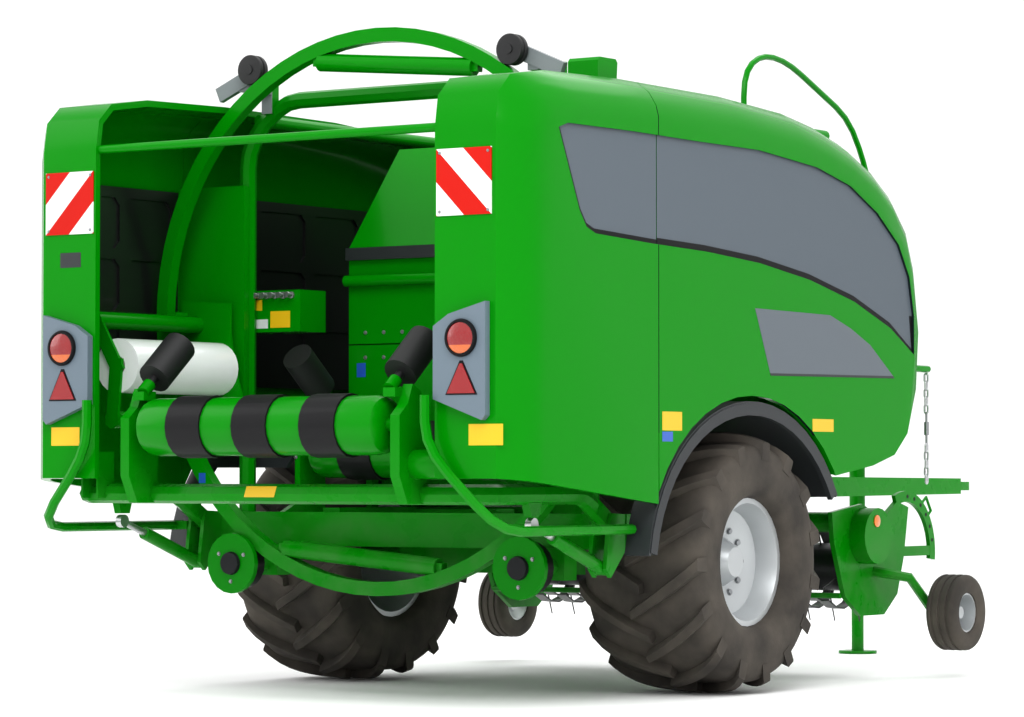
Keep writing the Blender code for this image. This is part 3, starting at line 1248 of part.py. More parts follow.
# Lower wheels that carry the ring, each with a big disc at the rear
low_reach = math.hypot(LOW_WHEEL_X, RING_Z - LOW_WHEEL_Z)
low_r = low_reach - RING_R - GAP
top_reach = math.hypot(TOP_PULLEY_X, TOP_PULLEY_Z - RING_Z)
top_r = top_reach - RING_R - GAP
for word, sign in SIDES:
    holder = pivot(f"low_wheel_pivot_{word}", (sign * LOW_WHEEL_X, RING_Y, LOW_WHEEL_Z))
    front = LOW_WHEEL_WIDTH / 2
    disc_front = -RING_WIDTH / 2 - CLEAR
    profile = [
        (0.0, front), (low_r * 0.5, front), (low_r, front), (low_r, disc_front), (LOW_DISC_R, disc_front),
        (LOW_DISC_R, disc_front - LOW_DISC_WALL), (LOW_DISC_R * 0.38, disc_front - LOW_DISC_WALL),
        (LOW_DISC_R * 0.36, disc_front - LOW_DISC_WALL * 1.7), (0.0, disc_front - LOW_DISC_WALL * 1.7),
    ]
    node(
        f"low_wheel_{word}", PAINT,
        [turned(profile, "Y", (sign * LOW_WHEEL_X, RING_Y, LOW_WHEEL_Z), 20)], parent=holder,
    )
    holder = pivot(f"top_pulley_pivot_{word}", (sign * TOP_PULLEY_X, RING_Y, TOP_PULLEY_Z))
    half = TOP_PULLEY_WIDTH / 2
    profile = [
        (0.0, half), (top_r, half), (top_r, -half), (0.0, -half),
    ]
    node(
        f"top_pulley_{word}", RUBBER,
        [turned(profile, "Y", (sign * TOP_PULLEY_X, RING_Y, TOP_PULLEY_Z), 20)], parent=holder,
    )


# Rollers: a drum with domed ends and raised rubber bands, on stub shafts
def drum(place, bands):
    """A turned roller along X, its ends stepped in and its stubs reaching the supports."""
    stub = SUPPORT_X - GAP
    profile = [(0.0, -stub), (ROLLER_STUB_R, -stub), (ROLLER_STUB_R, -ROLLER_HALF)]
    profile += [(ROLLER_R * 0.72, -ROLLER_HALF), (ROLLER_R * 0.93, -ROLLER_HALF + 0.02), (ROLLER_R, -ROLLER_HALF + 0.055)]
    for middle in bands:
        profile += [
            (ROLLER_R, middle - BAND_WIDTH / 2), (ROLLER_BAND_R, middle - BAND_WIDTH / 2),
            (ROLLER_BAND_R, middle + BAND_WIDTH / 2), (ROLLER_R, middle + BAND_WIDTH / 2),
        ]
    profile += [(ROLLER_R, ROLLER_HALF - 0.055), (ROLLER_R * 0.93, ROLLER_HALF - 0.02), (ROLLER_R * 0.72, ROLLER_HALF)]
    profile += [(ROLLER_STUB_R, ROLLER_HALF), (ROLLER_STUB_R, stub), (0.0, stub)]
    return turned(profile, "X", place, 20)


table_holder = pivot("table_pivot", (0, TIP_PIVOT_Y, TIP_PIVOT_Z))
roller_holder = pivot("rear_roller_pivot", (0, REAR_ROLLER_Y, REAR_ROLLER_Z), table_holder)
node(
    "rear_roller", PAINT, [drum((0, REAR_ROLLER_Y, REAR_ROLLER_Z), (-BAND_PITCH, 0, BAND_PITCH))],
    parent=roller_holder,
)
front_holder = pivot("front_roller_pivot", (0, FRONT_ROLLER_Y, FRONT_ROLLER_Z))
node(
    "front_roller", PAINT, [drum((0, FRONT_ROLLER_Y, FRONT_ROLLER_Z), (-BAND_PITCH, 0, BAND_PITCH))],
    parent=front_holder,
)

# Table frame: a U of tube hinged at its front ends, with the roller's supports and the motor
table = [pipe(
    [
        (-TABLE_TUBE_X, TIP_PIVOT_Y, TIP_PIVOT_Z), (-TABLE_TUBE_X, TIP_PIVOT_Y - 0.22, TABLE_TUBE_Z),
        (-TABLE_TUBE_X, TABLE_TUBE_Y, TABLE_TUBE_Z), (TABLE_TUBE_X, TABLE_TUBE_Y, TABLE_TUBE_Z),
        (TABLE_TUBE_X, TIP_PIVOT_Y - 0.22, TABLE_TUBE_Z), (TABLE_TUBE_X, TIP_PIVOT_Y, TIP_PIVOT_Z),
    ],
    TABLE_TUBE_R - 0.0005, 2, bend=0.05, bend_steps=2,
)]
table_cuts = []
for word, sign in SIDES:
    table.append(rod(
        (sign * (TABLE_TUBE_X - TIP_BOSS_HALF), TIP_PIVOT_Y, TIP_PIVOT_Z),
        (sign * (TABLE_TUBE_X + TIP_BOSS_HALF), TIP_PIVOT_Y, TIP_PIVOT_Z), TABLE_TUBE_R * 0.9, 16,
    ))
    trim_in = sorted((sign * (TABLE_TUBE_X - 0.2), sign * (TABLE_TUBE_X - TIP_BOSS_HALF)))
    trim_out = sorted((sign * (TABLE_TUBE_X + TIP_BOSS_HALF), sign * (TABLE_TUBE_X + 0.2)))
    for low_x, high_x in (trim_in, trim_out):
        table_cuts.append(block(
            (low_x, TIP_PIVOT_Y - 0.14, TIP_PIVOT_Z - 0.2), (high_x, TIP_PIVOT_Y + 0.2, TIP_PIVOT_Z + 0.3),
        ))
    low_x, high_x = sorted((sign * SUPPORT_X, sign * (SUPPORT_X + SUPPORT_WALL)))
    table.append(plate(
        [
            (SUPPORT_FRONT_Y, TABLE_TUBE_Z - 0.04), (SUPPORT_REAR_Y + 0.06, TABLE_TUBE_Z - 0.04),
            (SUPPORT_REAR_Y, TABLE_TUBE_Z + 0.08), (SUPPORT_REAR_Y, SUPPORT_TOP_Z - 0.05),
            (SUPPORT_REAR_Y + 0.06, SUPPORT_TOP_Z), (REAR_SIDE_Y, REAR_SIDE_Z - 0.02),
            (REAR_SIDE_Y + 0.06, REAR_SIDE_Z - 0.05), (SUPPORT_FRONT_Y, SUPPORT_TOP_Z - 0.06),
        ],
        "X", low_x, high_x,
    ))
    low_x, high_x = sorted((sign * (TABLE_TUBE_X - 0.02), sign * (TABLE_TUBE_X + 0.02)))
    table.append(plate(
        [
            (RAM_EYE_Y - 0.06, TABLE_TUBE_Z), (RAM_EYE_Y + 0.06, TABLE_TUBE_Z),
            (RAM_EYE_Y + 0.03, RAM_EYE_Z + RAM_EYE_R + CLEAR), (RAM_EYE_Y - 0.03, RAM_EYE_Z + RAM_EYE_R + CLEAR),
        ],
        "X", low_x, high_x,
    ))
motor_x = SUPPORT_X + SUPPORT_WALL
table.append(rod(
    (motor_x - SINK, MOTOR_Y, MOTOR_Z), (motor_x + MOTOR_LENGTH, MOTOR_Y, MOTOR_Z), MOTOR_R, 16,
))
for column in range(2):
    comb_x = -(COMB_X + COMB_PITCH * column)
    table.append(block(
        (comb_x - COMB_WALL, TABLE_TUBE_Y - COMB_DEPTH, TABLE_TUBE_Z - 0.02),
        (comb_x, TABLE_TUBE_Y + 0.02, TABLE_TUBE_Z + COMB_HEIGHT),
    ))


# Side rollers: short leaning drums that keep the bale between the big rollers
def side_roller(name, sign, foot, lean, holder_parent):
    """A leaning drum on its own pin; lean is +1 to lean forwards, -1 rearwards."""
    tilt = math.radians(SIDE_ROLLER_LEAN_DEG)
    way = Vector((0, lean * math.sin(tilt), math.cos(tilt)))
    start = Vector((sign * SIDE_ROLLER_X, *foot))
    holder = pivot(f"{name}_pivot", start, holder_parent)
    base = start + way * SIDE_ROLLER_PIN
    tip = base + way * SIDE_ROLLER_LENGTH
    shapes = [rod(base, tip, SIDE_ROLLER_R, 18), rod(start, base + way * SINK, SIDE_ROLLER_PIN_R, 10)]
    node(name, RUBBER, shapes, parent=holder)
    return start, way


for word, sign in SIDES:
    start, way = side_roller(f"rear_side_roller_{word}", sign, (REAR_SIDE_Y, REAR_SIDE_Z), 1, table_holder)
    table.append(rod(start - way * GAP, start - way * 0.06, 0.03, 12))
    low_x, high_x = sorted((sign * (SIDE_ROLLER_X - 0.02), sign * (SUPPORT_X + SINK)))
    table.append(block(
        (low_x, REAR_SIDE_Y - 0.065, REAR_SIDE_Z - 0.075), (high_x, REAR_SIDE_Y + 0.02, REAR_SIDE_Z - 0.035),
    ))
    start, way = side_roller(f"front_side_roller_{word}", sign, (FRONT_SIDE_Y, FRONT_SIDE_Z), -1, None)
node("table_frame", PAINT, table, table_cuts)

# Tipping cylinders: a bored barrel on the chassis' ears and a rod up to the table's lug
ram_bore = round_bore(RAM_ROD_R, RAM_SIDES)
for word, sign in SIDES:
    base = Vector((sign * TABLE_TUBE_X, RAM_BASE_Y, RAM_BASE_Z))
    top = Vector((sign * TABLE_TUBE_X, RAM_EYE_Y, RAM_EYE_Z))
    way = (top - base).normalized()
    holder = pivot(f"ram_pivot_{word}", base)
    turn = way.to_track_quat("Z", "Y").to_matrix().to_4x4()
    barrel_start = base + way * RAM_EYE_R * 0.6
    length = RAM_BARREL_LENGTH
    barrel = turned(
        [
            (0.0, 0.0), (RAM_BARREL_R, 0.0), (RAM_BARREL_R, length), (ram_bore, length),
            (ram_bore, RAM_FLOOR), (0.0, RAM_FLOOR),
        ],
        "Z", (0, 0, 0), RAM_SIDES,
    )
    barrel.data.transform(Matrix.Translation(barrel_start) @ turn)
    boss = rod(
        base - Vector((TIP_BOSS_HALF, 0, 0)), base + Vector((TIP_BOSS_HALF, 0, 0)), RAM_EYE_R, 16,
    )
    node(f"ram_barrel_{word}", PAINT, [barrel, boss], parent=holder)
    rod_start = barrel_start + way * (length - RAM_ROD_INSIDE)
    shaft = rod(rod_start, top - way * RAM_EYE_R * 0.5, RAM_ROD_R, 12)
    eye = rod(top - Vector((RAM_EYE_HALF, 0, 0)), top + Vector((RAM_EYE_HALF, 0, 0)), RAM_EYE_R, 16)
    rod_holder = pivot(f"rod_pivot_{word}", base, holder)
    node(f"ram_rod_{word}", STEEL, [shaft, eye], parent=rod_holder)

# Guard bars: bent tubes that run forward on each side of the table
for word, sign in SIDES:
    points = [
        (BAR_TOP_X, BAR_TOP_Y, BAR_TOP_Z), (BAR_TOP_X, BAR_TOP_Y, BAR_BEND_Z),
        (BAR_LOW_X, BAR_LOW_Y, BAR_LOW_Z), (BAR_LOW_X, BAR_END_Y, BAR_LOW_Z),
    ]
    run = [(sign * x, y, z) for x, y, z in points]
    ear_side = TABLE_TUBE_X + TIP_BOSS_HALF + GAP + TIP_EAR_WALL + GAP
    bracket = block(
        (min(sign * ear_side, sign * BAR_LOW_X), BAR_END_Y - 0.07, BAR_LOW_Z - 0.02),
        (max(sign * ear_side, sign * BAR_LOW_X), BAR_END_Y - 0.03, BAR_LOW_Z + 0.02),
    )
    node(f"guard_bar_{word}", PAINT, [pipe(run, BAR_R, 2, bend=0.16, bend_steps=3), bracket])

# Rear lamp clusters and marker boards
for word, sign in SIDES:
    face = PANEL_REAR_Y - GAP
    outline = [
        (LAMP_INNER_X, LAMP_FOOT_Z + 0.09), (LAMP_OUTER_X - 0.02, LAMP_FOOT_Z), (LAMP_OUTER_X, LAMP_FOOT_Z + 0.02),
        (LAMP_OUTER_X, LAMP_TOP_Z), (LAMP_INNER_X + 0.08, LAMP_TOP_Z - 0.05), (LAMP_INNER_X, LAMP_TOP_Z - 0.10),
    ]
    housing = plate([(sign * x, z) for x, z in outline], "Y", face - LAMP_DEPTH, face)
    lens = rod(
        (sign * LAMP_LENS_X, face - LAMP_DEPTH - LAMP_LENS_DEPTH, LAMP_LENS_Z),
        (sign * LAMP_LENS_X, face - LAMP_DEPTH + SINK, LAMP_LENS_Z), LAMP_LENS_R, 20,
    )
    node(f"lamp_cluster_{word}", GREY_PAINT, [housing, lens])
    half = BOARD_SIZE / 2
    node(f"marker_board_{word}", BOARD, [block(
        (sign * BOARD_X - half, face - BOARD_WALL, BOARD_Z - half), (sign * BOARD_X + half, face, BOARD_Z + half),
    )])

# Pickup: pivot tube, end plates with the drive's round cover, and the gauge wheels' arms
pickup_holder = pivot("pickup_pivot", (0, PICKUP_PIVOT_Y, PICKUP_PIVOT_Z))
pickup = [rod(
    (-PICKUP_HALF, PICKUP_PIVOT_Y, PICKUP_PIVOT_Z), (PICKUP_HALF, PICKUP_PIVOT_Y, PICKUP_PIVOT_Z), PICKUP_TUBE_R, 16,
)]
for word, sign in SIDES:
    inner = PICKUP_HALF - PICKUP_SIDE_WALL
    low_x, high_x = sorted((sign * inner, sign * PICKUP_HALF))
    run = [
        (PICKUP_PIVOT_Y - 0.08, PICKUP_PIVOT_Z + 0.05), (PICKUP_PIVOT_Y - 0.06, PICKUP_PIVOT_Z - 0.10),
        (REEL_Y - 0.28, REEL_Z - 0.14), (REEL_Y - 0.12, REEL_Z - 0.24), (REEL_Y + 0.12, REEL_Z - 0.24),
        (REEL_Y + 0.26, REEL_Z - 0.14), (REEL_Y + 0.33, REEL_Z + 0.05), (REEL_Y + 0.38, REEL_Z + 0.30),
        (REEL_Y + 0.26, REEL_Z + 0.33), (REEL_Y + 0.10, REEL_Z + 0.24), (REEL_Y - 0.10, REEL_Z + 0.32),
    ]
    pickup.append(plate(run, "X", low_x, high_x))
    pickup.append(rod(
        (sign * (PICKUP_HALF - SINK), REEL_Y - 0.10, REEL_Z + 0.16),
        (sign * (PICKUP_HALF + DRIVE_DEPTH), REEL_Y - 0.10, REEL_Z + 0.16), DRIVE_R, 20,
    ))
    arm_x = GAUGE_X - GAUGE_WIDTH / 2 - GAUGE_ARM / 2 - 0.02
    pickup.append(pipe(
        [
            (sign * (PICKUP_HALF - SINK), REEL_Y + 0.02, REEL_Z - 0.02), (sign * arm_x, REEL_Y + 0.06, REEL_Z - 0.05),
            (sign * arm_x, GAUGE_Y, GAUGE_Z),
        ],
        GAUGE_ARM / 2, 2,
    ))
    pickup.append(rod(
        (sign * arm_x, GAUGE_Y, GAUGE_Z), (sign * (GAUGE_X - GAUGE_WIDTH / 4 - GAP), GAUGE_Y, GAUGE_Z),
        GAUGE_SPINDLE_R, 12,
    ))
node("pickup_frame", PAINT, pickup, parent=pickup_holder)

# Reel: a drum with four tine bars, all its tines fused to it
reel_holder = pivot("reel_pivot", (0, REEL_Y, REEL_Z), pickup_holder)
stub = PICKUP_HALF - PICKUP_SIDE_WALL - GAP
reel = [turned(
    [
        (0.0, -stub), (REEL_DRUM_R * 0.3, -stub), (REEL_DRUM_R * 0.3, -REEL_HALF), (REEL_DRUM_R, -REEL_HALF),
        (REEL_DRUM_R, REEL_HALF), (REEL_DRUM_R * 0.3, REEL_HALF), (REEL_DRUM_R * 0.3, stub), (0.0, stub),
    ],
    "X", (0, REEL_Y, REEL_Z), 16,
)]
tines = bmesh.new()
for row in range(TINE_ROWS):
    for number in range(TINES_PER_ROW):
        turn = 2 * math.pi * row / TINE_ROWS + math.radians(20)
        across = REEL_HALF * 0.94 * (2 * number / (TINES_PER_ROW - 1) - 1)
        reach = (REEL_DRUM_R - SINK + TINE_TIP_R) / 2
        matrix = (
            Matrix.Translation((across, REEL_Y + reach * math.cos(turn), REEL_Z + reach * math.sin(turn)))
            @ Matrix.Rotation(turn - math.pi / 2, 4, "X")
        )
        bmesh.ops.create_cone(
            tines, cap_ends=True, segments=5, radius1=TINE_R, radius2=TINE_R * 0.7,
            depth=TINE_TIP_R - REEL_DRUM_R + SINK, matrix=matrix,
        )
reel.append(from_bmesh("tines", tines))
node("pickup_reel", STEEL, reel, parent=reel_holder)

# Gauge wheels beside the pickup
for word, sign in SIDES:
    holder = pivot(f"gauge_pivot_{word}", (sign * GAUGE_X, GAUGE_Y, GAUGE_Z), pickup_holder)
    half = GAUGE_WIDTH / 2
    tyre = turned(
        [
            (GAUGE_RIM_R + GAP, -half * 0.75), (GAUGE_RIM_R + 0.02, -half * 0.95), (GAUGE_R * 0.8, -half),
            (GAUGE_R * 0.95, -half * 0.85), (GAUGE_R, -half * 0.5), (GAUGE_R, half * 0.5),
            (GAUGE_R * 0.95, half * 0.85), (GAUGE_R * 0.8, half), (GAUGE_RIM_R + 0.02, half * 0.95),
            (GAUGE_RIM_R + GAP, half * 0.75),
        ],
        "X", (sign * GAUGE_X, GAUGE_Y, GAUGE_Z), GAUGE_STEPS,
    )
    node(f"gauge_tyre_{word}", TYRE, [tyre], parent=holder)
    inner = -sign * half / 2
    rim = turned(
        [
            (0.0, inner), (GAUGE_RIM_R * 0.45, inner), (GAUGE_RIM_R * 0.5, inner + sign * 0.01),
            (GAUGE_RIM_R - 0.012, inner - sign * 0.015), (GAUGE_RIM_R - 0.008, -sign * half * 0.73),
            (GAUGE_RIM_R, -sign * half * 0.73), (GAUGE_RIM_R, sign * half * 0.73),
            (GAUGE_RIM_R - 0.008, sign * half * 0.73), (GAUGE_RIM_R - 0.014, inner + sign * 0.02),
            (GAUGE_RIM_R * 0.45, inner + sign * 0.04), (GAUGE_RIM_R * 0.3, inner + sign * 0.07),
            (0.0, inner + sign * 0.07),
        ],
        "X", (sign * GAUGE_X, GAUGE_Y, GAUGE_Z), GAUGE_STEPS,
    )
    node(f"gauge_rim_{word}", RIM, [rim], parent=holder)
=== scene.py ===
"""Dresses the towed round baler and bale wrapper: paint, rubber, plates, lamps, bolts and studio light."""
import json
import math

import bmesh
import bpy
from mathutils import Matrix, Vector

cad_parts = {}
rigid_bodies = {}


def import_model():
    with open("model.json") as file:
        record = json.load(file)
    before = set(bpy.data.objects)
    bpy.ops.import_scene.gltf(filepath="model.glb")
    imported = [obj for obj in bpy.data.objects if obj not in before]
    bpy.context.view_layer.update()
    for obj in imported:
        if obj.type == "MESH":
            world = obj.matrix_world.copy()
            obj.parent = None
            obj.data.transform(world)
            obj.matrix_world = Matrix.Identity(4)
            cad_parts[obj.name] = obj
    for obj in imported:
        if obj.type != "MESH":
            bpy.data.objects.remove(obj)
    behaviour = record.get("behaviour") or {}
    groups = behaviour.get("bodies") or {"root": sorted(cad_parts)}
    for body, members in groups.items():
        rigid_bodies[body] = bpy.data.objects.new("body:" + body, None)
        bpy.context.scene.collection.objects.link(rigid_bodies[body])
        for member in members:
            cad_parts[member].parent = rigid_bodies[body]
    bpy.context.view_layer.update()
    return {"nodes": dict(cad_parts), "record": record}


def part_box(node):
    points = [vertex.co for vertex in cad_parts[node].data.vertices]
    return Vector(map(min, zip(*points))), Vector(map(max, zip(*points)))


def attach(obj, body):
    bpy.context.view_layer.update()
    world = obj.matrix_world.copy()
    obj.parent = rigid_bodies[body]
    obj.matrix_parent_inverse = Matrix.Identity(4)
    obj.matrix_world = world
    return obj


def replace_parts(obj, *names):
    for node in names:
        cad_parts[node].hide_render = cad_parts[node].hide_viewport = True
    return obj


for old in list(bpy.data.objects):
    bpy.data.objects.remove(old, do_unlink=True)

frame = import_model()
nodes = frame["nodes"]

# Fore and aft places below are measured from the road wheels' axle, as on the drawing of the frame.
axle_low, axle_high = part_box("axle_beam")
AXLE_Y = (axle_low.y + axle_high.y) / 2

# Camera: it stands behind and to the right of the machine, at chest height, with a long lens.
# Its place was fitted to left and right pairs of points in the photograph.
CAMERA_PLACE = (9.992, -14.572 + AXLE_Y, 1.013)
CAMERA_LENS_MM = 128.1
CAMERA_TILT_DEG = 1.836
CAMERA_TURN_DEG = 34.573
camera_data = bpy.data.cameras.new("camera")
camera_data.sensor_width = 36.0
camera_data.lens = CAMERA_LENS_MM
camera_data.clip_end = 400
camera = bpy.data.objects.new("camera", camera_data)
camera.location = CAMERA_PLACE
camera.rotation_euler = (math.radians(90 + CAMERA_TILT_DEG), 0, math.radians(CAMERA_TURN_DEG))
bpy.context.scene.collection.objects.link(camera)
bpy.context.scene.camera = camera

# Studio floor: one pale sheet that turns up far away, so that no line shows where it ends.
# It is a disc with a rounded rim, in matt off-white.
FLOOR_REACH = 46
FLOOR_RIM = 16
FLOOR_DROP = 0.002
FLOOR_STEPS = 96
rim_turns = (0.2, 0.4, 0.6, 0.8, 1.0, 1.2, 1.4, 1.57)
reaches = [(FLOOR_REACH, 0)]
reaches += [(FLOOR_REACH + FLOOR_RIM * math.sin(t), FLOOR_RIM - FLOOR_RIM * math.cos(t)) for t in rim_turns]
floor_points = [(0, 0, -FLOOR_DROP)]
for reach, height in reaches:
    for step in range(FLOOR_STEPS):
        turn = 2 * math.pi * step / FLOOR_STEPS
        floor_points.append((reach * math.cos(turn), reach * math.sin(turn), height - FLOOR_DROP))
floor_faces = [(0, 1 + step, 1 + (step + 1) % FLOOR_STEPS) for step in range(FLOOR_STEPS)]
for row in range(len(reaches) - 1):
    for step in range(FLOOR_STEPS):
        near, far = (1 + row * FLOOR_STEPS + s % FLOOR_STEPS for s in (step, step + 1))
        floor_faces.append((near, near + FLOOR_STEPS, far + FLOOR_STEPS, far))
floor_mesh = bpy.data.meshes.new("floor")
floor_mesh.from_pydata(floor_points, [], floor_faces)
floor_mesh.polygons.foreach_set("use_smooth", [True] * len(floor_mesh.polygons))
floor = bpy.data.objects.new("floor", floor_mesh)
bpy.context.scene.collection.objects.link(floor)
floor_look = bpy.data.materials.new("floor_look")
floor_look.use_nodes = True
floor_shader = floor_look.node_tree.nodes["Principled BSDF"]
floor_shader.inputs["Base Color"].default_value = (0.95, 0.95, 0.95, 1)
floor_shader.inputs["Roughness"].default_value = 0.9
floor_mesh.materials.append(floor_look)

# Studio light: a white sky and three wide soft boxes, above, behind the camera and on the far side.
# They are kept low, because the paint in the photograph is deep and not washed out.
world = bpy.data.worlds.new("studio")
world.use_nodes = True
world.node_tree.nodes["Background"].inputs["Color"].default_value = (1.0, 1.0, 1.0, 1)
world.node_tree.nodes["Background"].inputs["Strength"].default_value = 1.0
bpy.context.scene.world = world
bpy.context.scene.view_settings.view_transform = "Standard"
bpy.context.scene.view_settings.look = "Medium High Contrast"
for name, place, aim, size, power in (
    ("key", (6.0, -9.0, 9.0), (0, -0.5, 1.2), 7.0, 750),
    ("fill", (-9.0, -6.0, 6.0), (0, -0.5, 1.4), 8.0, 220),
    ("top", (0.0, 3.0, 10.0), (0, 0, 1.5), 8.0, 260),
):
    light = bpy.data.lights.new(name, "AREA")
    light.size = size
    light.energy = power
    lamp = bpy.data.objects.new(name, light)
    lamp.location = place
    lamp.rotation_euler = (Vector(aim) - Vector(place)).to_track_quat("-Z", "Y").to_euler()
    bpy.context.scene.collection.objects.link(lamp)


# Green paint: the whole frame and the chambers, sprayed in one coat with a thin gloss.
# A little dust lies low down. Sums on wires are written out as formulas and become math nodes.
class Wire:
    """One value in a node tree that takes part in sums."""

    def __init__(self, tree, socket):
        self.tree, self.socket = tree, socket

    def step(self, operation, *others):
        terms = dict(enumerate((self, *others)))
        return Wire(self.tree, added(self.tree, "ShaderNodeMath", {"operation": operation}, terms).outputs[0])

    def __add__(self, other):
        return self.step("ADD", other)

    def __sub__(self, other):
        return self.step("SUBTRACT", other)

    def __rsub__(self, other):
        return (self * -1.0) + other

    def __mul__(self, other):
        return self.step("MULTIPLY", other)

    __radd__ = __add__
    __rmul__ = __mul__

    def __gt__(self, other):
        return self.step("GREATER_THAN", other)

    def __lt__(self, other):
        return self.step("LESS_THAN", other)

    def size(self):
        return self.step("ABSOLUTE")

    def either(self, other):
        return self.step("MAXIMUM", other)

    def band(self, low, high):
        """0 at or under low, 1 at or over high, and a straight ramp between."""
        ramp = added(self.tree, "ShaderNodeMapRange", {}, {"From Min": low, "From Max": high, "Value": self})
        return Wire(self.tree, ramp.outputs["Result"])


def added(tree, kind, settings, sockets):
    """A new node: its settings are made first, then its sockets get their values or links."""
    node = tree.nodes.new(kind)
    for name, value in settings.items():
        setattr(node, name, value)
    for name, value in sockets.items():
        source = value.socket if isinstance(value, Wire) else value
        if isinstance(source, bpy.types.NodeSocket):
            tree.links.new(source, node.inputs[name])
        else:
            node.inputs[name].default_value = source
    return node


def places(tree):
    """The object's own vector, and its x, y and z."""
    vector = added(tree, "ShaderNodeTexCoord", {}, {}).outputs["Object"]
    apart = added(tree, "ShaderNodeSeparateXYZ", {}, {0: vector})
    return vector, [Wire(tree, apart.outputs[axis]) for axis in range(3)]


def noise(tree, vector, scale, detail=3.0):
    """A soft random value over the piece."""
    grain = added(tree, "ShaderNodeTexNoise", {}, {"Scale": scale, "Detail": detail, "Vector": vector})
    return Wire(tree, grain.outputs["Fac"])


def mixed(tree, share, first, second):
    """A colour between first and second; share 0 gives first. A Mix node's colours are inputs 6 and 7."""
    blend = added(tree, "ShaderNodeMix", {"data_type": "RGBA"}, {0: share, 6: first, 7: second})
    return blend.outputs[2]


def bumped(tree, shader, height, strength, distance):
    """Small relief on a surface."""
    bump = added(tree, "ShaderNodeBump", {}, {"Strength": strength, "Distance": distance, "Height": height})
    tree.links.new(bump.outputs["Normal"], shader.inputs["Normal"])


def look(name, roughness, metallic=0.0, coat=0.0, shine=0.5):
    """A new material, its tree and its Principled node."""
    made = bpy.data.materials.new(name)
    made.use_nodes = True
    shader = made.node_tree.nodes["Principled BSDF"]
    shader.inputs["Roughness"].default_value = roughness
    shader.inputs["Metallic"].default_value = metallic
    shader.inputs["Specular IOR Level"].default_value = shine
    shader.inputs["Coat Weight"].default_value = coat
    shader.inputs["Coat Roughness"].default_value = 0.08
    return made, made.node_tree, shader


def plain(name, colour, roughness, metallic=0.0, coat=0.0, shine=0.5):
    """A material of one colour."""
    made, tree, shader = look(name, roughness, metallic, coat, shine)
    shader.inputs["Base Color"].default_value = colour
    return made


GREEN = (0.0008, 0.215, 0.0015, 1)
DUST = (0.20, 0.23, 0.16, 1)
DUST_TOP_Z = 1.1
DUST_FULL_Z = 0.2
green_paint, tree, shader = look("green_paint", 0.28, coat=0.10, shine=0.12)
vector, (x, y, z) = places(tree)
dust = z.band(DUST_TOP_Z, DUST_FULL_Z) * noise(tree, vector, 7.0).band(0.35, 0.75) * 0.3
tree.links.new(mixed(tree, dust, GREEN, DUST), shader.inputs["Base Color"])
tree.links.new((dust * 0.8 + 0.26).socket, shader.inputs["Roughness"])

# Side shells: moulded and painted green, with long sunk fields in blue-grey film, whose side walls carry painted
# shade in near black.
# The fields are found by their depth and by the flat face that looks outwards.
FIELD_GREY = (0.105, 0.125, 0.145, 1)
FIELD_WALL_SHADE = (0.012, 0.02, 0.022, 1)
panel_paint, tree, shader = look("panel_paint", 0.25, coat=0.10, shine=0.12)
vector, (x, y, z) = places(tree)
normal = added(tree, "ShaderNodeNewGeometry", {}, {}).outputs["Normal"]
outwards = Wire(tree, added(tree, "ShaderNodeSeparateXYZ", {}, {0: normal}).outputs[0]).size()
floor_of_field = (outwards > 0.995) * (x.size() < 1.374) * (x.size() > 1.362)
# Painted shade: the sunk fields' side walls are coloured near black, as the shadow inside the recess.
shaded_field_wall = (outwards < 0.2) * (x.size() < 1.3799) * (x.size() > 1.366) * (z > 1.2) * (z < 2.70)
shell_colour = mixed(tree, shaded_field_wall, GREEN, FIELD_WALL_SHADE)
tree.links.new(mixed(tree, floor_of_field, shell_colour, FIELD_GREY), shader.inputs["Base Color"])
tree.links.new((floor_of_field * 0.2 + 0.22).socket, shader.inputs["Roughness"])

# Tyre rubber: brown-black, with pale field dust and a fine grain.
# It is one look for the road tyres and the small gauge tyres.
DARK_TREAD = (0.038, 0.033, 0.028, 1)
DUSTY_TREAD = (0.085, 0.073, 0.060, 1)
tyre_look, tree, shader = look("tyre_look", 0.85)
vector, (x, y, z) = places(tree)
grime = noise(tree, vector, 5.0, 6.0).band(0.35, 0.7)
tree.links.new(mixed(tree, grime, DARK_TREAD, DUSTY_TREAD), shader.inputs["Base Color"])
bumped(tree, shader, noise(tree, vector, 90.0, 4.0), 0.25, 0.003)

# Plain finishes: housings, plastics, liners, bare steel, rims and film.
# Each material slot of the frame has one of them.
RUBBER = (0.012, 0.012, 0.013, 1)
black_rubber = plain("black_rubber", RUBBER, 0.55)
dark_plastic = plain("dark_plastic", (0.022, 0.025, 0.028, 1), 0.45)
bright_steel = plain("bright_steel", (0.55, 0.56, 0.57, 1), 0.3, metallic=0.9)
film_look, tree, shader = look("film_look", 0.3, coat=0.5)
shader.inputs["Base Color"].default_value = (0.82, 0.84, 0.84, 1)
bumped(tree, shader, noise(tree, places(tree)[0], 40.0, 2.0), 0.12, 0.002)
LOOKS = {
    "green_paint": green_paint,
    "green_panel": panel_paint,
    "grey_housing": plain("housing_grey", (0.13, 0.17, 0.205, 1), 0.42),
    "dark_plastic": dark_plastic,
    "black_liner": plain("black_liner", (0.010, 0.010, 0.011, 1), 0.35, coat=0.3),
    "tyre_rubber": tyre_look,
    "black_rubber": black_rubber,
    "silver_rim": plain("silver_rim", (0.50, 0.52, 0.53, 1), 0.38, metallic=0.5),
    "marker_board": plain("marker_plain", (0.85, 0.85, 0.85, 1), 0.4),
    "white_film": film_look,
    "bright_steel": bright_steel,
}

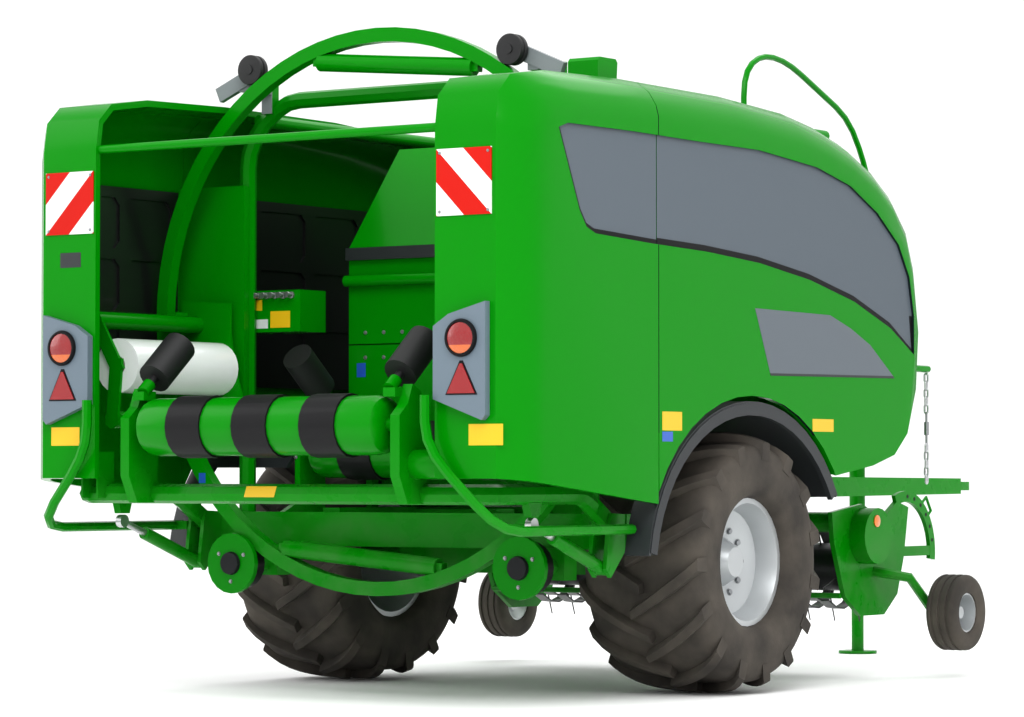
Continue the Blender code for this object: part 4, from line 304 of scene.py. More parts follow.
# Rounded metal: tubes, tyres and wheels are shaded round and folded sheet stays crisp.
# A small node tree on each piece marks its edges over 38 degrees as sharp.
CREASE_DEG = 38
round_tree = bpy.data.node_groups.new("round_with_crisp_folds", "GeometryNodeTree")
round_tree.interface.new_socket("Geometry", in_out="INPUT", socket_type="NodeSocketGeometry")
round_tree.interface.new_socket("Geometry", in_out="OUTPUT", socket_type="NodeSocketGeometry")
inlet = added(round_tree, "NodeGroupInput", {}, {})
fold = added(round_tree, "GeometryNodeInputMeshEdgeAngle", {}, {})
steep = added(
    round_tree, "FunctionNodeCompare", {"data_type": "FLOAT", "operation": "GREATER_THAN"},
    {0: fold.outputs["Unsigned Angle"], 1: math.radians(CREASE_DEG)},
)
soft = added(round_tree, "GeometryNodeSetShadeSmooth", {"domain": "FACE"}, {"Geometry": inlet.outputs[0]})
crisp = added(
    round_tree, "GeometryNodeSetShadeSmooth", {"domain": "EDGE"},
    {"Geometry": soft.outputs[0], "Selection": steep.outputs[0], "Shade Smooth": False},
)
added(round_tree, "NodeGroupOutput", {}, {0: crisp.outputs[0]})


def dress(name, material):
    """Gives a piece of the frame one material."""
    nodes[name].data.materials.clear()
    nodes[name].data.materials.append(material)


for entry in frame["record"]["subparts"]:
    dress(entry["node"], LOOKS[entry["material_slot"]])
    weld = nodes[entry["node"]].modifiers.new("join_corners", "WELD")
    weld.merge_threshold = 0.0001
    nodes[entry["node"]].modifiers.new("round_with_crisp_folds", "NODES").node_group = round_tree

# Marker boards: two sheet plates behind the shells, with red and white stripes for road use.
# The stripes fall outwards on each side.
SIDES = (("left", -1), ("right", 1))
BOARD_X = 1.104
BOARD_Z = 2.255
STRIPE_PITCH = 0.28
BOARD_WHITE = (0.72, 0.72, 0.72, 1)
BOARD_RED = (0.50, 0.012, 0.006, 1)
for word, sign in SIDES:
    stripes, tree, shader = look(f"marker_stripes_{word}", 0.4, coat=0.05, shine=0.15)
    vector, (x, y, z) = places(tree)
    slant = ((x - sign * BOARD_X) * sign + (z - BOARD_Z)) * (1 / STRIPE_PITCH)
    red = slant.step("FRACT") > 0.5
    tree.links.new(mixed(tree, red, BOARD_WHITE, BOARD_RED), shader.inputs["Base Color"])
    dress(f"marker_board_{word}", stripes)

# Table rollers: green tubes with three moulded black sleeves on each, which grip the bale.
# The sleeves stand a centimetre proud in the frame and only take their colour here.
SLEEVE_HALF = 0.0955
SLEEVE_PITCH = 0.375
roller_paint, tree, shader = look("roller_paint", 0.3, coat=0.12, shine=0.15)
vector, (x, y, z) = places(tree)
sleeve = (x.size() < SLEEVE_HALF).either((x.size() - SLEEVE_PITCH).size() < SLEEVE_HALF)
tree.links.new(mixed(tree, sleeve, GREEN, RUBBER), shader.inputs["Base Color"])
tree.links.new((sleeve * 0.25 + 0.28).socket, shader.inputs["Roughness"])
dress("rear_roller", roller_paint)
dress("front_roller", roller_paint)

# Ring's carrying wheels: a green steel disc in front of a black tyre, with a dark cap on its hub.
# They stand at both sides of the ring's foot.
RING_WHEEL_X = 0.819
RING_WHEEL_Z = 0.60
RING_WHEEL_DISC_R = 0.1425
RING_WHEEL_DISC_Y = 1.1855
RING_WHEEL_CAP_R = 0.0548
CAP_BLACK = (0.02, 0.021, 0.023, 1)
wheel_paint, tree, shader = look("wheel_paint", 0.35, coat=0.08, shine=0.12)
vector, (x, y, z) = places(tree)
out_x, out_z = x.size() - RING_WHEEL_X, z - RING_WHEEL_Z
reach = (out_x * out_x + out_z * out_z).step("SQRT")
rubber_part = (y > AXLE_Y - RING_WHEEL_DISC_Y).either(reach > RING_WHEEL_DISC_R)
disc_colour = mixed(tree, reach < RING_WHEEL_CAP_R, GREEN, CAP_BLACK)
tree.links.new(mixed(tree, rubber_part, disc_colour, RUBBER), shader.inputs["Base Color"])
dress("low_wheel_left", wheel_paint)
dress("low_wheel_right", wheel_paint)

# Hoop over the ring: green tube, with its two short arms and their mounts in bare grey steel.
# The arms carry the pulleys that hold the ring's upper rim.
ARMS_Y = 0.93
ARMS_FOOT_Z = 2.7
ARM_GREY = (0.20, 0.22, 0.23, 1)
hoop_paint, tree, shader = look("hoop_paint", 0.3, coat=0.10, shine=0.12)
vector, (x, y, z) = places(tree)
bare = (y < AXLE_Y - ARMS_Y) * (z > ARMS_FOOT_Z)
tree.links.new(mixed(tree, bare, GREEN, ARM_GREY), shader.inputs["Base Color"])
dress("hoop_frame", hoop_paint)

# Road tyres: two wide low-pressure tyres with curved bars that meet at the middle.
# The casing is turned and each bar is swept over it; they replace the frame's plainer tyres.
FROM_AXLE = Vector((0, AXLE_Y, 0))


def lathe(work, profile, axis, centre, steps):
    """A closed outline of (radius, place along the axis), turned about the axis X, Y or Z."""
    rows = []
    for radius, along in profile:
        row = []
        for step in range(steps if radius > 0 else 1):
            turn = 2 * math.pi * step / steps
            a, b = radius * math.cos(turn), radius * math.sin(turn)
            offset = {"X": (along, a, b), "Y": (a, along, b), "Z": (a, b, along)}[axis]
            row.append(work.verts.new(Vector(centre) + Vector(offset)))
        rows.append(row)
    for this, following in zip(rows, rows[1:] + rows[:1]):
        for step in range(steps):
            after = (step + 1) % steps
            corners = [row[turn % len(row)] for row, turn in (
                (this, step), (this, after), (following, after), (following, step),
            )]
            corners = [c for place, c in enumerate(corners) if c not in corners[:place]]
            if len(corners) > 2:
                work.faces.new(corners)


def piece(name, work, material, body, crease=CREASE_DEG):
    """Makes an object of a finished mesh and hangs it on a body; fore and aft is from the axle."""
    bmesh.ops.translate(work, verts=work.verts, vec=FROM_AXLE)
    bmesh.ops.recalc_face_normals(work, faces=work.faces)
    mesh = bpy.data.meshes.new(name)
    work.to_mesh(mesh)
    work.free()
    mesh.materials.append(material)
    mesh.polygons.foreach_set("use_smooth", [True] * len(mesh.polygons))
    mesh.set_sharp_from_angle(angle=math.radians(crease))
    made = bpy.data.objects.new(name, mesh)
    bpy.context.scene.collection.objects.link(made)
    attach(made, body)
    return made


def skin(work, rows):
    """Faces between following rows of corners, each row a closed ring."""
    for this, following in zip(rows, rows[1:]):
        for near in range(len(this)):
            far = (near + 1) % len(this)
            work.faces.new((this[near], this[far], following[far], following[near]))


WHEEL_X = 1.0255
AXLE_Z = 0.61
TYRE_R = 0.61
TYRE_HALF = 0.3225
TYRE_STEPS = 96
LUGS = 15
LUG_HALF = 0.031
LUG_OVERLAP = 0.035
LUG_SWEEP_DEG = 23
LUG_EDGE = 0.008
LUG_DROP = 0.052
LUG_STATIONS = 9
LUG_FOOT_R = 0.545
LUG_FOOT_DROP = 0.07
# radius, and share of the half width
half_casing = (
    (0.2988, 0.80), (0.312, 0.90), (0.335, 0.955), (0.347, 0.965), (0.352, 0.975), (0.38, 0.99), (0.44, 1.0),
    (0.485, 0.99), (0.515, 0.965), (0.535, 0.92), (0.55, 0.84), (0.56, 0.70), (0.565, 0.45), (0.566, 0.0),
)
casing = [(r, s * TYRE_HALF) for r, s in half_casing]
casing += [(r, -s * TYRE_HALF) for r, s in reversed(half_casing[:-1])]
for word, sign in SIDES:
    work = bmesh.new()
    lathe(work, casing, "X", (sign * WHEEL_X, 0, AXLE_Z), TYRE_STEPS)
    for side in (-1, 1):
        for number in range(LUGS):
            start = 2 * math.pi * (number + (0.5 if side > 0 else 0)) / LUGS
            rows = []
            for station in range(LUG_STATIONS):
                share = station / (LUG_STATIONS - 1)
                across = side * (TYRE_HALF - (TYRE_HALF + LUG_OVERLAP) * share)
                turn = start + math.radians(LUG_SWEEP_DEG) * share**0.8
                spread = LUG_HALF / TYRE_R * (1.15 - 0.35 * share)
                top = TYRE_R - LUG_DROP * (1 - share) ** 4
                foot = LUG_FOOT_R - LUG_FOOT_DROP * (1 - share) ** 3
                section = (
                    (-1.2, foot), (1.2, foot), (0.94, top - LUG_EDGE), (0.78, top), (-0.78, top),
                    (-0.94, top - LUG_EDGE),
                )
                rows.append([
                    work.verts.new((
                        sign * WHEEL_X + across, radius * math.cos(turn + spread * swing),
                        AXLE_Z + radius * math.sin(turn + spread * swing),
                    ))
                    for swing, radius in section
                ])
            skin(work, rows)
            work.faces.new(rows[0][::-1])
            work.faces.new(rows[-1])
    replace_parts(piece(f"lugged_tyre_{word}", work, tyre_look, f"wheel_{word}"), f"tyre_{word}")

# Bolts, studs and rivets: round washers under heads in grey steel, set on the surface under them.
# One point for each head carries the way it faces, and a node tree puts a head there.
bolt_steel = plain("bolt_steel", (0.30, 0.31, 0.32, 1), 0.35, metallic=0.8)
repeat_tree = bpy.data.node_groups.new("one_piece_at_each_point", "GeometryNodeTree")
for title, kind, way in (
    ("Points", "NodeSocketGeometry", "INPUT"), ("Piece", "NodeSocketObject", "INPUT"),
    ("Material", "NodeSocketMaterial", "INPUT"), ("Size", "NodeSocketFloat", "INPUT"),
    ("Geometry", "NodeSocketGeometry", "OUTPUT"),
):
    repeat_tree.interface.new_socket(title, in_out=way, socket_type=kind)
given = added(repeat_tree, "NodeGroupInput", {}, {}).outputs
held = added(repeat_tree, "GeometryNodeObjectInfo", {}, {"Object": given["Piece"]})
facing = added(repeat_tree, "GeometryNodeInputNamedAttribute", {"data_type": "FLOAT_VECTOR"}, {"Name": "facing"})
twist = added(repeat_tree, "GeometryNodeInputNamedAttribute", {"data_type": "FLOAT"}, {"Name": "twist"})
align = added(
    repeat_tree, "FunctionNodeAlignRotationToVector", {"axis": "Z"}, {"Vector": facing.outputs["Attribute"]},
)
spin = added(
    repeat_tree, "FunctionNodeAxisAngleToRotation", {},
    {"Axis": (0, 0, 1), "Angle": twist.outputs["Attribute"]},
)
turned = added(
    repeat_tree, "FunctionNodeRotateRotation", {"rotation_space": "LOCAL"},
    {"Rotation": align.outputs["Rotation"], "Rotate By": spin.outputs["Rotation"]},
)
spread_out = added(
    repeat_tree, "GeometryNodeInstanceOnPoints", {},
    {
        "Points": given["Points"], "Instance": held.outputs["Geometry"],
        "Scale": given["Size"], "Rotation": turned.outputs["Rotation"],
    },
)
real = added(repeat_tree, "GeometryNodeRealizeInstances", {}, {"Geometry": spread_out.outputs["Instances"]})
dressed = added(
    repeat_tree, "GeometryNodeSetMaterial", {},
    {"Geometry": real.outputs["Geometry"], "Material": given["Material"]},
)
added(repeat_tree, "NodeGroupOutput", {}, {"Geometry": dressed.outputs["Geometry"]})


def repeated(name, mesh, spots, size, material, body, crease=28):
    """One object with a copy of a mesh at each spot: its place, the way it faces and its twist."""
    points = bpy.data.meshes.new(f"{name}_points")
    points.from_pydata([Vector(place) + FROM_AXLE for place, way, twist in spots], [], [])
    points.attributes.new("facing", "FLOAT_VECTOR", "POINT")
    points.attributes.new("twist", "FLOAT", "POINT")
    for number, (place, way, twist) in enumerate(spots):
        points.attributes["facing"].data[number].vector = way
        points.attributes["twist"].data[number].value = twist
    carrier = bpy.data.objects.new(f"{name}_points", points)
    pattern = bpy.data.objects.new(f"{name}_pattern", mesh)
    bpy.context.scene.collection.objects.link(carrier)
    bpy.context.scene.collection.objects.link(pattern)
    modifier = carrier.modifiers.new("one_piece_at_each_point", "NODES")
    modifier.node_group = repeat_tree
    values = {"Piece": pattern, "Material": material, "Size": size}
    for socket in repeat_tree.interface.items_tree:
        if socket.in_out == "INPUT" and socket.name in values:
            modifier[socket.identifier] = values[socket.name]
    bpy.context.view_layer.update()
    settled = carrier.evaluated_get(bpy.context.evaluated_depsgraph_get())
    made_mesh = bpy.data.meshes.new_from_object(settled)
    made_mesh.name = name
    for attribute in ("facing", "twist"):
        if attribute in made_mesh.attributes:
            made_mesh.attributes.remove(made_mesh.attributes[attribute])
    made_mesh.polygons.foreach_set("use_smooth", [True] * len(made_mesh.polygons))
    made_mesh.set_sharp_from_angle(angle=math.radians(crease))
    bpy.data.objects.remove(carrier, do_unlink=True)
    bpy.data.objects.remove(pattern, do_unlink=True)
    made = bpy.data.objects.new(name, made_mesh)
    bpy.context.scene.collection.objects.link(made)
    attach(made, body)
    return made


def small_mesh(name, work):
    """A plain mesh of one small piece, round its own middle, for repeated()."""
    mesh = bpy.data.meshes.new(name)
    bmesh.ops.recalc_face_normals(work, faces=work.faces)
    work.to_mesh(mesh)
    work.free()
    return mesh


def on_surface(name, start, way):
    """Where a line from start, measured from the axle, first meets a piece of the frame."""
    part = nodes[name]
    back = part.matrix_world.inverted()
    hit, point, normal, face = part.ray_cast(back @ (Vector(start) + FROM_AXLE), back.to_3x3() @ Vector(way))
    if not hit:
        return None
    return part.matrix_world @ point - FROM_AXLE, (part.matrix_world.to_3x3() @ normal).normalized()


def round_spots(count, radius):
    """Places on a circle, as pairs."""
    turns = [2 * math.pi * number / count for number in range(count)]
    return [(radius * math.cos(turn), radius * math.sin(turn)) for turn in turns]


work = bmesh.new()
# radius and height, in head radii
head_profile = ((0.0, -0.15), (1.35, -0.15), (1.35, 0.12), (1.0, 0.12), (1.0, 0.78), (0.88, 0.9), (0.0, 0.9))
lathe(work, head_profile, "Z", (0, 0, 0), 12)
head_mesh = small_mesh("bolt_head", work)


def bolts(name, part, starts, way, size, body):
    """Heads where lines from the starts meet a piece."""
    found = [on_surface(part, start, way) for start in starts]
    spots = [(*spot, 0.0) for spot in found if spot]
    if spots:
        repeated(name, head_mesh, spots, size, bolt_steel, body)


REARWARDS, FORWARDS = (0, -1, 0), (0, 1, 0)
GAUGE_Y, GAUGE_Z = 1.884, 0.321
BOARD_RIVET = 0.125
SEAM_BOLTS = [number * 0.11 for number in range(-5, 6)]
bpy.context.view_layer.update()
for word, sign in SIDES:
    inwards = (-sign, 0, 0)
    bolts(
        f"wheel_studs_{word}", f"rim_{word}",
        [(sign * 1.5, a, AXLE_Z + b) for a, b in round_spots(10, 0.15)], inwards, 0.013, f"wheel_{word}",
    )
    bolts(
        f"low_wheel_bolts_{word}", f"low_wheel_{word}",
        [
            (sign * RING_WHEEL_X + 0.085 * math.cos(t), -1.6, RING_WHEEL_Z + 0.085 * math.sin(t))
            for t in (0.5, 2.6, 4.7)
        ],
        FORWARDS, 0.0075, f"ring_wheel_{word}",
    )
    bolts(
        f"support_bolts_{word}", "chassis_frame",
        [(sign * 0.755, -2.2, z) for z in (1.10, 1.16, 1.22, 1.28)], FORWARDS, 0.008, "chassis",
    )
    bolts(
        f"board_rivets_{word}", f"marker_board_{word}",
        [(sign * BOARD_X + a * BOARD_RIVET, -2.3, BOARD_Z + b * BOARD_RIVET) for a in (-1, 1) for b in (-1, 1)],
        FORWARDS, 0.005, "chassis",
    )
    bolts(
        f"gauge_bolts_{word}", f"gauge_rim_{word}",
        [(sign * 1.6, GAUGE_Y + a, GAUGE_Z + b) for a, b in round_spots(5, 0.055)],
        inwards, 0.006, f"gauge_{word}",
    )
bolts("gate_bolts", "chamber_upper", [(x, -1.0, 1.70) for x in SEAM_BOLTS], FORWARDS, 0.008, "gate")
bolts("chamber_bolts", "chamber_lower", [(x, -1.0, 1.58) for x in SEAM_BOLTS], FORWARDS, 0.008, "chassis")
bolts(
    "cover_bolts", "front_cover",
    [(a * 0.88, 2.4, z) for a in (-1, 1) for z in (1.1, 1.4, 1.7, 2.0, 2.3, 2.6)], REARWARDS, 0.008, "chassis",
)

# Rear lamps: a round lamp in a black ring on each grey housing, red above and amber below.
# Its lens is a low dome with cast grains, and a red triangle reflector stands under it.
LAMP_X = 1.115
LAMP_Z = 1.592
AMBER_TOP_Z = 1.562
LAMP_RED = (0.24, 0.004, 0.006, 1)
LAMP_AMBER = (0.55, 0.11, 0.008, 1)
red_glass, tree, shader = look("red_glass", 0.15, coat=1.0)
vector, (x, y, z) = places(tree)
tree.links.new(mixed(tree, z < AMBER_TOP_Z, LAMP_RED, LAMP_AMBER), shader.inputs["Base Color"])
grains = added(tree, "ShaderNodeTexVoronoi", {}, {"Scale": 95, "Vector": vector})
bumped(tree, shader, Wire(tree, grains.outputs["Distance"]), 0.5, 0.002)
reflector_red = plain("reflector_red", (0.26, 0.003, 0.006, 1), 0.25, coat=0.8)
lamp_black = plain("lamp_black", (0.01, 0.01, 0.011, 1), 0.45, shine=0.15)


def slab(work, outline, axis, low, high):
    """An outline in the plane square to an axis, made thick from low to high along it."""
    ends = []
    for along in (low, high):
        spots = [{"X": (along, a, b), "Y": (a, along, b), "Z": (a, b, along)}[axis] for a, b in outline]
        ends.append([work.verts.new(spot) for spot in spots])
    work.faces.new(ends[0][::-1])
    work.faces.new(ends[1])
    skin(work, ends)


# radius, and place fore and aft
lamp_ring = (
    (0.0715, -2.064), (0.079, -2.064), (0.081, -2.074), (0.077, -2.082), (0.0685, -2.083), (0.066, -2.0775),
    (0.0665, -2.0765), (0.0715, -2.0765),
)
lamp_dome = ((0.0, -2.0765), (0.066, -2.0765), (0.066, -2.079), (0.05, -2.084), (0.025, -2.087), (0.0, -2.088))
TRIANGLE_X = 1.114
TRIANGLE_BACK_Y = -2.0645
for word, sign in SIDES:
    work = bmesh.new()
    lathe(work, lamp_ring, "Y", (sign * LAMP_X, 0, LAMP_Z), 48)
    piece(f"lamp_ring_{word}", work, lamp_black, "chassis")
    work = bmesh.new()
    lathe(work, lamp_dome, "Y", (sign * LAMP_X, 0, LAMP_Z), 48)
    piece(f"lamp_lens_{word}", work, red_glass, "chassis", 60)
    for title, foot_half, tip_half, foot_z, tip_z, rear_y, material in (
        ("triangle", 0.072, 0.006, 1.358, 1.484, -2.072, reflector_red),
        ("triangle_back", 0.082, 0.008, 1.352, 1.496, -2.0675, lamp_black),
    ):
        middle = sign * TRIANGLE_X
        outline = [
            (middle - foot_half, foot_z), (middle + foot_half, foot_z),
            (middle + tip_half, tip_z), (middle - tip_half, tip_z),
        ]
        work = bmesh.new()
        slab(work, outline, "Y", rear_y, TRIANGLE_BACK_Y)
        piece(f"{title}_{word}", work, material, "chassis")

# Lower grey field: a thin sheet on the outside of each door over the wheel, with a dark foot strip.
# Both lie on the moulded shell and lift with it.
DOOR_SKIN_X = 1.3797
door_field = plain("door_field", FIELD_GREY, 0.42)
field_outline = ((-0.099, 1.784), (0.599, 1.777), (0.80, 1.72), (0.991, 1.646), (1.222, 1.5), (0.036, 1.487))
strip_outline = ((0.036, 1.487), (1.222, 1.5), (1.236, 1.489), (0.041, 1.476))
for word, sign in SIDES:
    work = bmesh.new()
    slab(work, field_outline, "X", sign * DOOR_SKIN_X, sign * 1.3815)
    piece(f"door_field_{word}", work, door_field, f"door_{word}")
    work = bmesh.new()
    slab(work, strip_outline, "X", sign * DOOR_SKIN_X, sign * 1.3818)
    piece(f"door_strip_{word}", work, dark_plastic, f"door_{word}")

# Dark border of the long field: a black strip laid in along its foot and its rear, on shell and door.
# It follows the field's edge and is parted at the seam between the two shells.
SHELL_REAR_Y, SHELL_LENGTH = -2.03, 3.586
SHELL_FOOT_Z, SHELL_HEIGHT = 0.84, 1.925
BORDER_BACK_X, BORDER_FACE_X = 1.3675, 1.3692
# shares of the shell's length from its rear and of its height
foot_edge = (
    (0.968, 0.50), (0.968, 0.40), (0.90, 0.465), (0.80, 0.525), (0.68, 0.57), (0.55, 0.60), (0.42, 0.615),
    (0.3076, 0.6209),
)
shell_edge = (
    (0.3062, 0.6210), (0.29, 0.622), (0.165, 0.632), (0.145, 0.645), (0.13, 0.68), (0.1075, 0.77), (0.085, 0.86),
)
for word, sign in SIDES:
    for title, edge, width, seam_end, body in (
        ("door", foot_edge, 0.03, -1, f"door_{word}"), ("shell", shell_edge, 0.022, 0, "chassis"),
    ):
        outer = [Vector((SHELL_REAR_Y + SHELL_LENGTH * a, SHELL_FOOT_Z + SHELL_HEIGHT * b)) for a, b in edge]
        inner = []
        for number, point in enumerate(outer):
            along = (outer[min(number + 1, len(outer) - 1)] - outer[max(number - 1, 0)]).normalized()
            inner.append(point + Vector((along.y, -along.x)) * width)
        inner[seam_end].x = outer[seam_end].x
        work = bmesh.new()
        slab(work, outer + inner[::-1], "X", sign * BORDER_BACK_X, sign * BORDER_FACE_X)
        piece(f"field_border_{title}_{word}", work, lamp_black, body)

# Plain plates: thin bare sheets in yellow, blue, grey and black on the shells, doors, table and ring.
# Each is glued square on the face under it.
yellow_plate = plain("yellow_plate", (0.70, 0.44, 0.01, 1), 0.4, coat=0.1)
blue_plate = plain("blue_plate", (0.02, 0.10, 0.45, 1), 0.35, coat=0.3)
pale_plate = plain("pale_plate", (0.62, 0.64, 0.64, 1), 0.4, coat=0.2)
PLATE_SINK, PLATE_PROUD = 0.0004, 0.0009


def sheets(name, part, material, body, spots, way):
    """Thin plates, each with its middle, half width and half height, where lines meet a piece."""
    work = bmesh.new()
    for start, half_wide, half_high in spots:
        found = on_surface(part, start, way)
        if not found:
            continue
        point, normal = found
        across = normal.cross(Vector((0, 0, 1)))
        across = across.normalized() if across.length > 0.1 else Vector((1, 0, 0))
        up = across.cross(normal).normalized()
        rings = [
            [
                work.verts.new(point + across * a * half_wide + up * b * half_high + normal * lift)
                for a, b in ((-1, -1), (1, -1), (1, 1), (-1, 1))
            ]
            for lift in (-PLATE_SINK, PLATE_PROUD)
        ]
        work.faces.new(rings[0][::-1])
        work.faces.new(rings[1])
        skin(work, rings)
    piece(name, work, material, body)


# name, piece under it, finish, body, the way its line runs, then middle, half width and half height
LEFTWARDS, RIGHTWARDS = (-1, 0, 0), (1, 0, 0)
for name, part, material, body, way, spots in (
    (
        "notices_shell_left", "rear_panel_left", yellow_plate, "chassis", FORWARDS,
        [((-1.127, -2.3, 1.19), 0.085, 0.042)],
    ),
    (
        "notices_shell_right", "rear_panel_right", yellow_plate, "chassis", FORWARDS,
        [((1.215, -2.3, 1.184), 0.088, 0.045)],
    ),
    ("notice_tube", "table_frame", yellow_plate, "table", FORWARDS, [((-0.096, -2.3, 0.94), 0.085, 0.026)]),
    (
        "notices_door_right", "side_door_right", yellow_plate, "door_right", LEFTWARDS,
        [((1.6, -0.82, 1.254), 0.082, 0.042), ((1.6, 0.53, 1.25), 0.10, 0.03)],
    ),
    (
        "notices_door_left", "side_door_left", yellow_plate, "door_left", RIGHTWARDS,
        [((-1.6, -0.82, 1.254), 0.082, 0.042), ((-1.6, 0.53, 1.25), 0.10, 0.03)],
    ),
    (
        "blue_door_right", "side_door_right", blue_plate, "door_right", LEFTWARDS,
        [((1.6, -0.859, 1.185), 0.044, 0.022)],
    ),
    (
        "blue_door_left", "side_door_left", blue_plate, "door_left", RIGHTWARDS,
        [((-1.6, -0.859, 1.185), 0.044, 0.022)],
    ),
    (
        "blue_ring", "wrap_ring", blue_plate, "ring", FORWARDS,
        [((-1.20, -1.6, 2.03), 0.02, 0.024), ((-1.02, -1.6, 1.0), 0.02, 0.024)],
    ),
    (
        "valve_notices", "valve_box", yellow_plate, "chassis", FORWARDS,
        [((-0.97, -1.1, 1.83), 0.04, 0.026), ((-0.82, -1.1, 1.76), 0.06, 0.04)],
    ),
    ("valve_block_plate", "valve_box", pale_plate, "chassis", FORWARDS, [((-0.93, -1.1, 1.74), 0.035, 0.022)]),
    ("net_notice", "chamber_lower", blue_plate, "chassis", FORWARDS, [((-0.575, -1.0, 1.52), 0.027, 0.034)]),
    ("handle_plates", "rear_panel_left", dark_plastic, "chassis", FORWARDS, [((-1.10, -2.3, 1.995), 0.062, 0.034)]),
):
    sheets(name, part, material, body, spots, way)

# Lift chain: round-wire links that hang from an arm and carry the pickup, with a turnbuckle in their run.
# One link is bent to a closed run and set again and again, each square to the next.
WIRE_R = 0.006
LINK_BEND_R = 0.010
LINK_HALF_RUN = 0.0115
LINK_HALF = 0.0275
LINK_PITCH = 0.04
LINK_STEPS, WIRE_STEPS = 20, 10
BUCKLE_LENGTH = 0.17
BUCKLE_R = 0.013
EYE_OVERLAP = 0.0155
work = bmesh.new()
bends = []
for step in range(LINK_STEPS):
    turn = 2 * math.pi * (step + 0.5) / LINK_STEPS
    out = Vector((math.cos(turn), 0, math.sin(turn)))
    centre = out * LINK_BEND_R + Vector((0, 0, math.copysign(LINK_HALF_RUN, out.z)))
    bends.append([
        work.verts.new(centre + (out * math.cos(t) + Vector((0, 1, 0)) * math.sin(t)) * WIRE_R)
        for t in (2 * math.pi * n / WIRE_STEPS for n in range(WIRE_STEPS))
    ])
skin(work, bends + bends[:1])
link_mesh = small_mesh("chain_link", work)
chain_low, chain_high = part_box("lift_chain")
chain_x, chain_y = (chain_low.x + chain_high.x) / 2, (chain_low.y + chain_high.y) / 2 - AXLE_Y
link_heights = [chain_high.z - LINK_HALF - LINK_PITCH * n for n in range(5)]
buckle_top = link_heights[-1] - EYE_OVERLAP
buckle_foot = buckle_top - BUCKLE_LENGTH
lower = [buckle_foot - EYE_OVERLAP - LINK_PITCH * n for n in range(20)]
link_heights += [height for height in lower if height - LINK_HALF > chain_low.z - 0.002]
links = [((chain_x, chain_y, h), (0, 0, 1), math.pi / 2 * (n % 2)) for n, h in enumerate(link_heights)]
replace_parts(repeated("chain_links", link_mesh, links, 1.0, bright_steel, "chassis", 70), "lift_chain")
work = bmesh.new()
lathe(work, [
    (0.0, buckle_top), (WIRE_R, buckle_top), (WIRE_R, buckle_top - 0.05), (BUCKLE_R, buckle_top - 0.052),
    (BUCKLE_R, buckle_foot + 0.052), (WIRE_R, buckle_foot + 0.05), (WIRE_R, buckle_foot), (0.0, buckle_foot),
], "Z", (chain_x, chain_y, 0), 16)
piece("turnbuckle", work, bolt_steel, "chassis")

# Pickup: thirteen folded strips run round the reel between its rows of tines, on one cross tube.
# They are black sheet, bent over the reel from the tube behind to the hood in front.
REEL_Y, REEL_Z = 1.57, 0.55
TINE_PITCH = 0.1446
STRIP_HALF = 0.03
STRIP_HALF_WALL = 0.004
strip_black = plain("strip_black", (0.018, 0.019, 0.020, 1), 0.4, coat=0.2)
dress("pickup_reel", plain("tine_steel", (0.045, 0.045, 0.048, 1), 0.4, metallic=0.5))
# reach from the reel's axis, and degrees round it
run = (
    (0.32, -155), (0.27, -143), (0.215, -130), (0.21, -107), (0.21, -85), (0.21, -62), (0.21, -40),
    (0.21, -17), (0.21, 5), (0.21, 27), (0.21, 50), (0.21, 70), (0.235, 90), (0.377, 145),
)
points = [
    Vector((REEL_Y + r * math.cos(math.radians(t)), REEL_Z + r * math.sin(math.radians(t)))) for r, t in run
]
squares = []
for number in range(len(points)):
    along = points[min(number + 1, len(points) - 1)] - points[max(number - 1, 0)]
    squares.append(Vector((-along.y, along.x)).normalized() * STRIP_HALF_WALL)
outline = [point + square for point, square in zip(points, squares)]
outline += [point - square for point, square in zip(points[::-1], squares[::-1])]
work = bmesh.new()
for number in range(13):
    middle = TINE_PITCH * (number - 6)
    slab(work, outline, "X", middle - STRIP_HALF, middle + STRIP_HALF)
piece("stripper_bands", work, strip_black, "pickup")


def bar(work, start, end, radius, sides=16):
    """A round bar between two points."""
    way = Vector(end) - Vector(start)
    turn = way.to_track_quat("Z", "Y").to_matrix().to_4x4()
    bmesh.ops.create_cone(
        work, cap_ends=True, segments=sides, radius1=radius, radius2=radius, depth=way.length,
        matrix=Matrix.Translation((Vector(start) + Vector(end)) / 2) @ turn,
    )


work = bmesh.new()
bar(work, (-1.05, *points[0]), (1.05, *points[0]), 0.014)
piece("stripper_tube", work, green_paint, "pickup")

# Gauge tyres: two small ribbed tyres at the pickup's ends, with three grooves round the tread.
# They are turned in one piece and replace the frame's plain ones on the same rims.
RIM_GAP = 0.0003
for word, sign in SIDES:
    low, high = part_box(f"gauge_tyre_{word}")
    rim_low, rim_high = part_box(f"gauge_rim_{word}")
    middle = (low + high) / 2 - FROM_AXLE
    radius, half = (high.z - low.z) / 2, (high.x - low.x) / 2
    bead = (rim_high.z - rim_low.z) / 2 + RIM_GAP
    wall = [
        (bead, 0.82), (bead + 0.012, 0.93), (bead + 0.03, 0.99), (radius - 0.045, 1.0), (radius - 0.022, 0.96),
        (radius - 0.008, 0.86),
    ]
    tread = []
    for groove in (0.5, 0.0, -0.5):
        tread += [(radius - drop, groove + share) for drop, share in (
            (0.001, 0.16), (0.001, 0.09), (0.007, 0.06), (0.007, -0.06), (0.001, -0.09), (0.0, -0.16),
        )]
    profile = [*wall, (radius - 0.002, 0.74), *tread, (radius - 0.002, -0.74)]
    profile += [(r, -s) for r, s in reversed(wall)]
    work = bmesh.new()
    lathe(work, [(r, s * half) for r, s in profile], "X", middle, 64)
    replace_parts(piece(f"ribbed_tyre_{word}", work, tyre_look, f"gauge_{word}"), f"gauge_tyre_{word}")
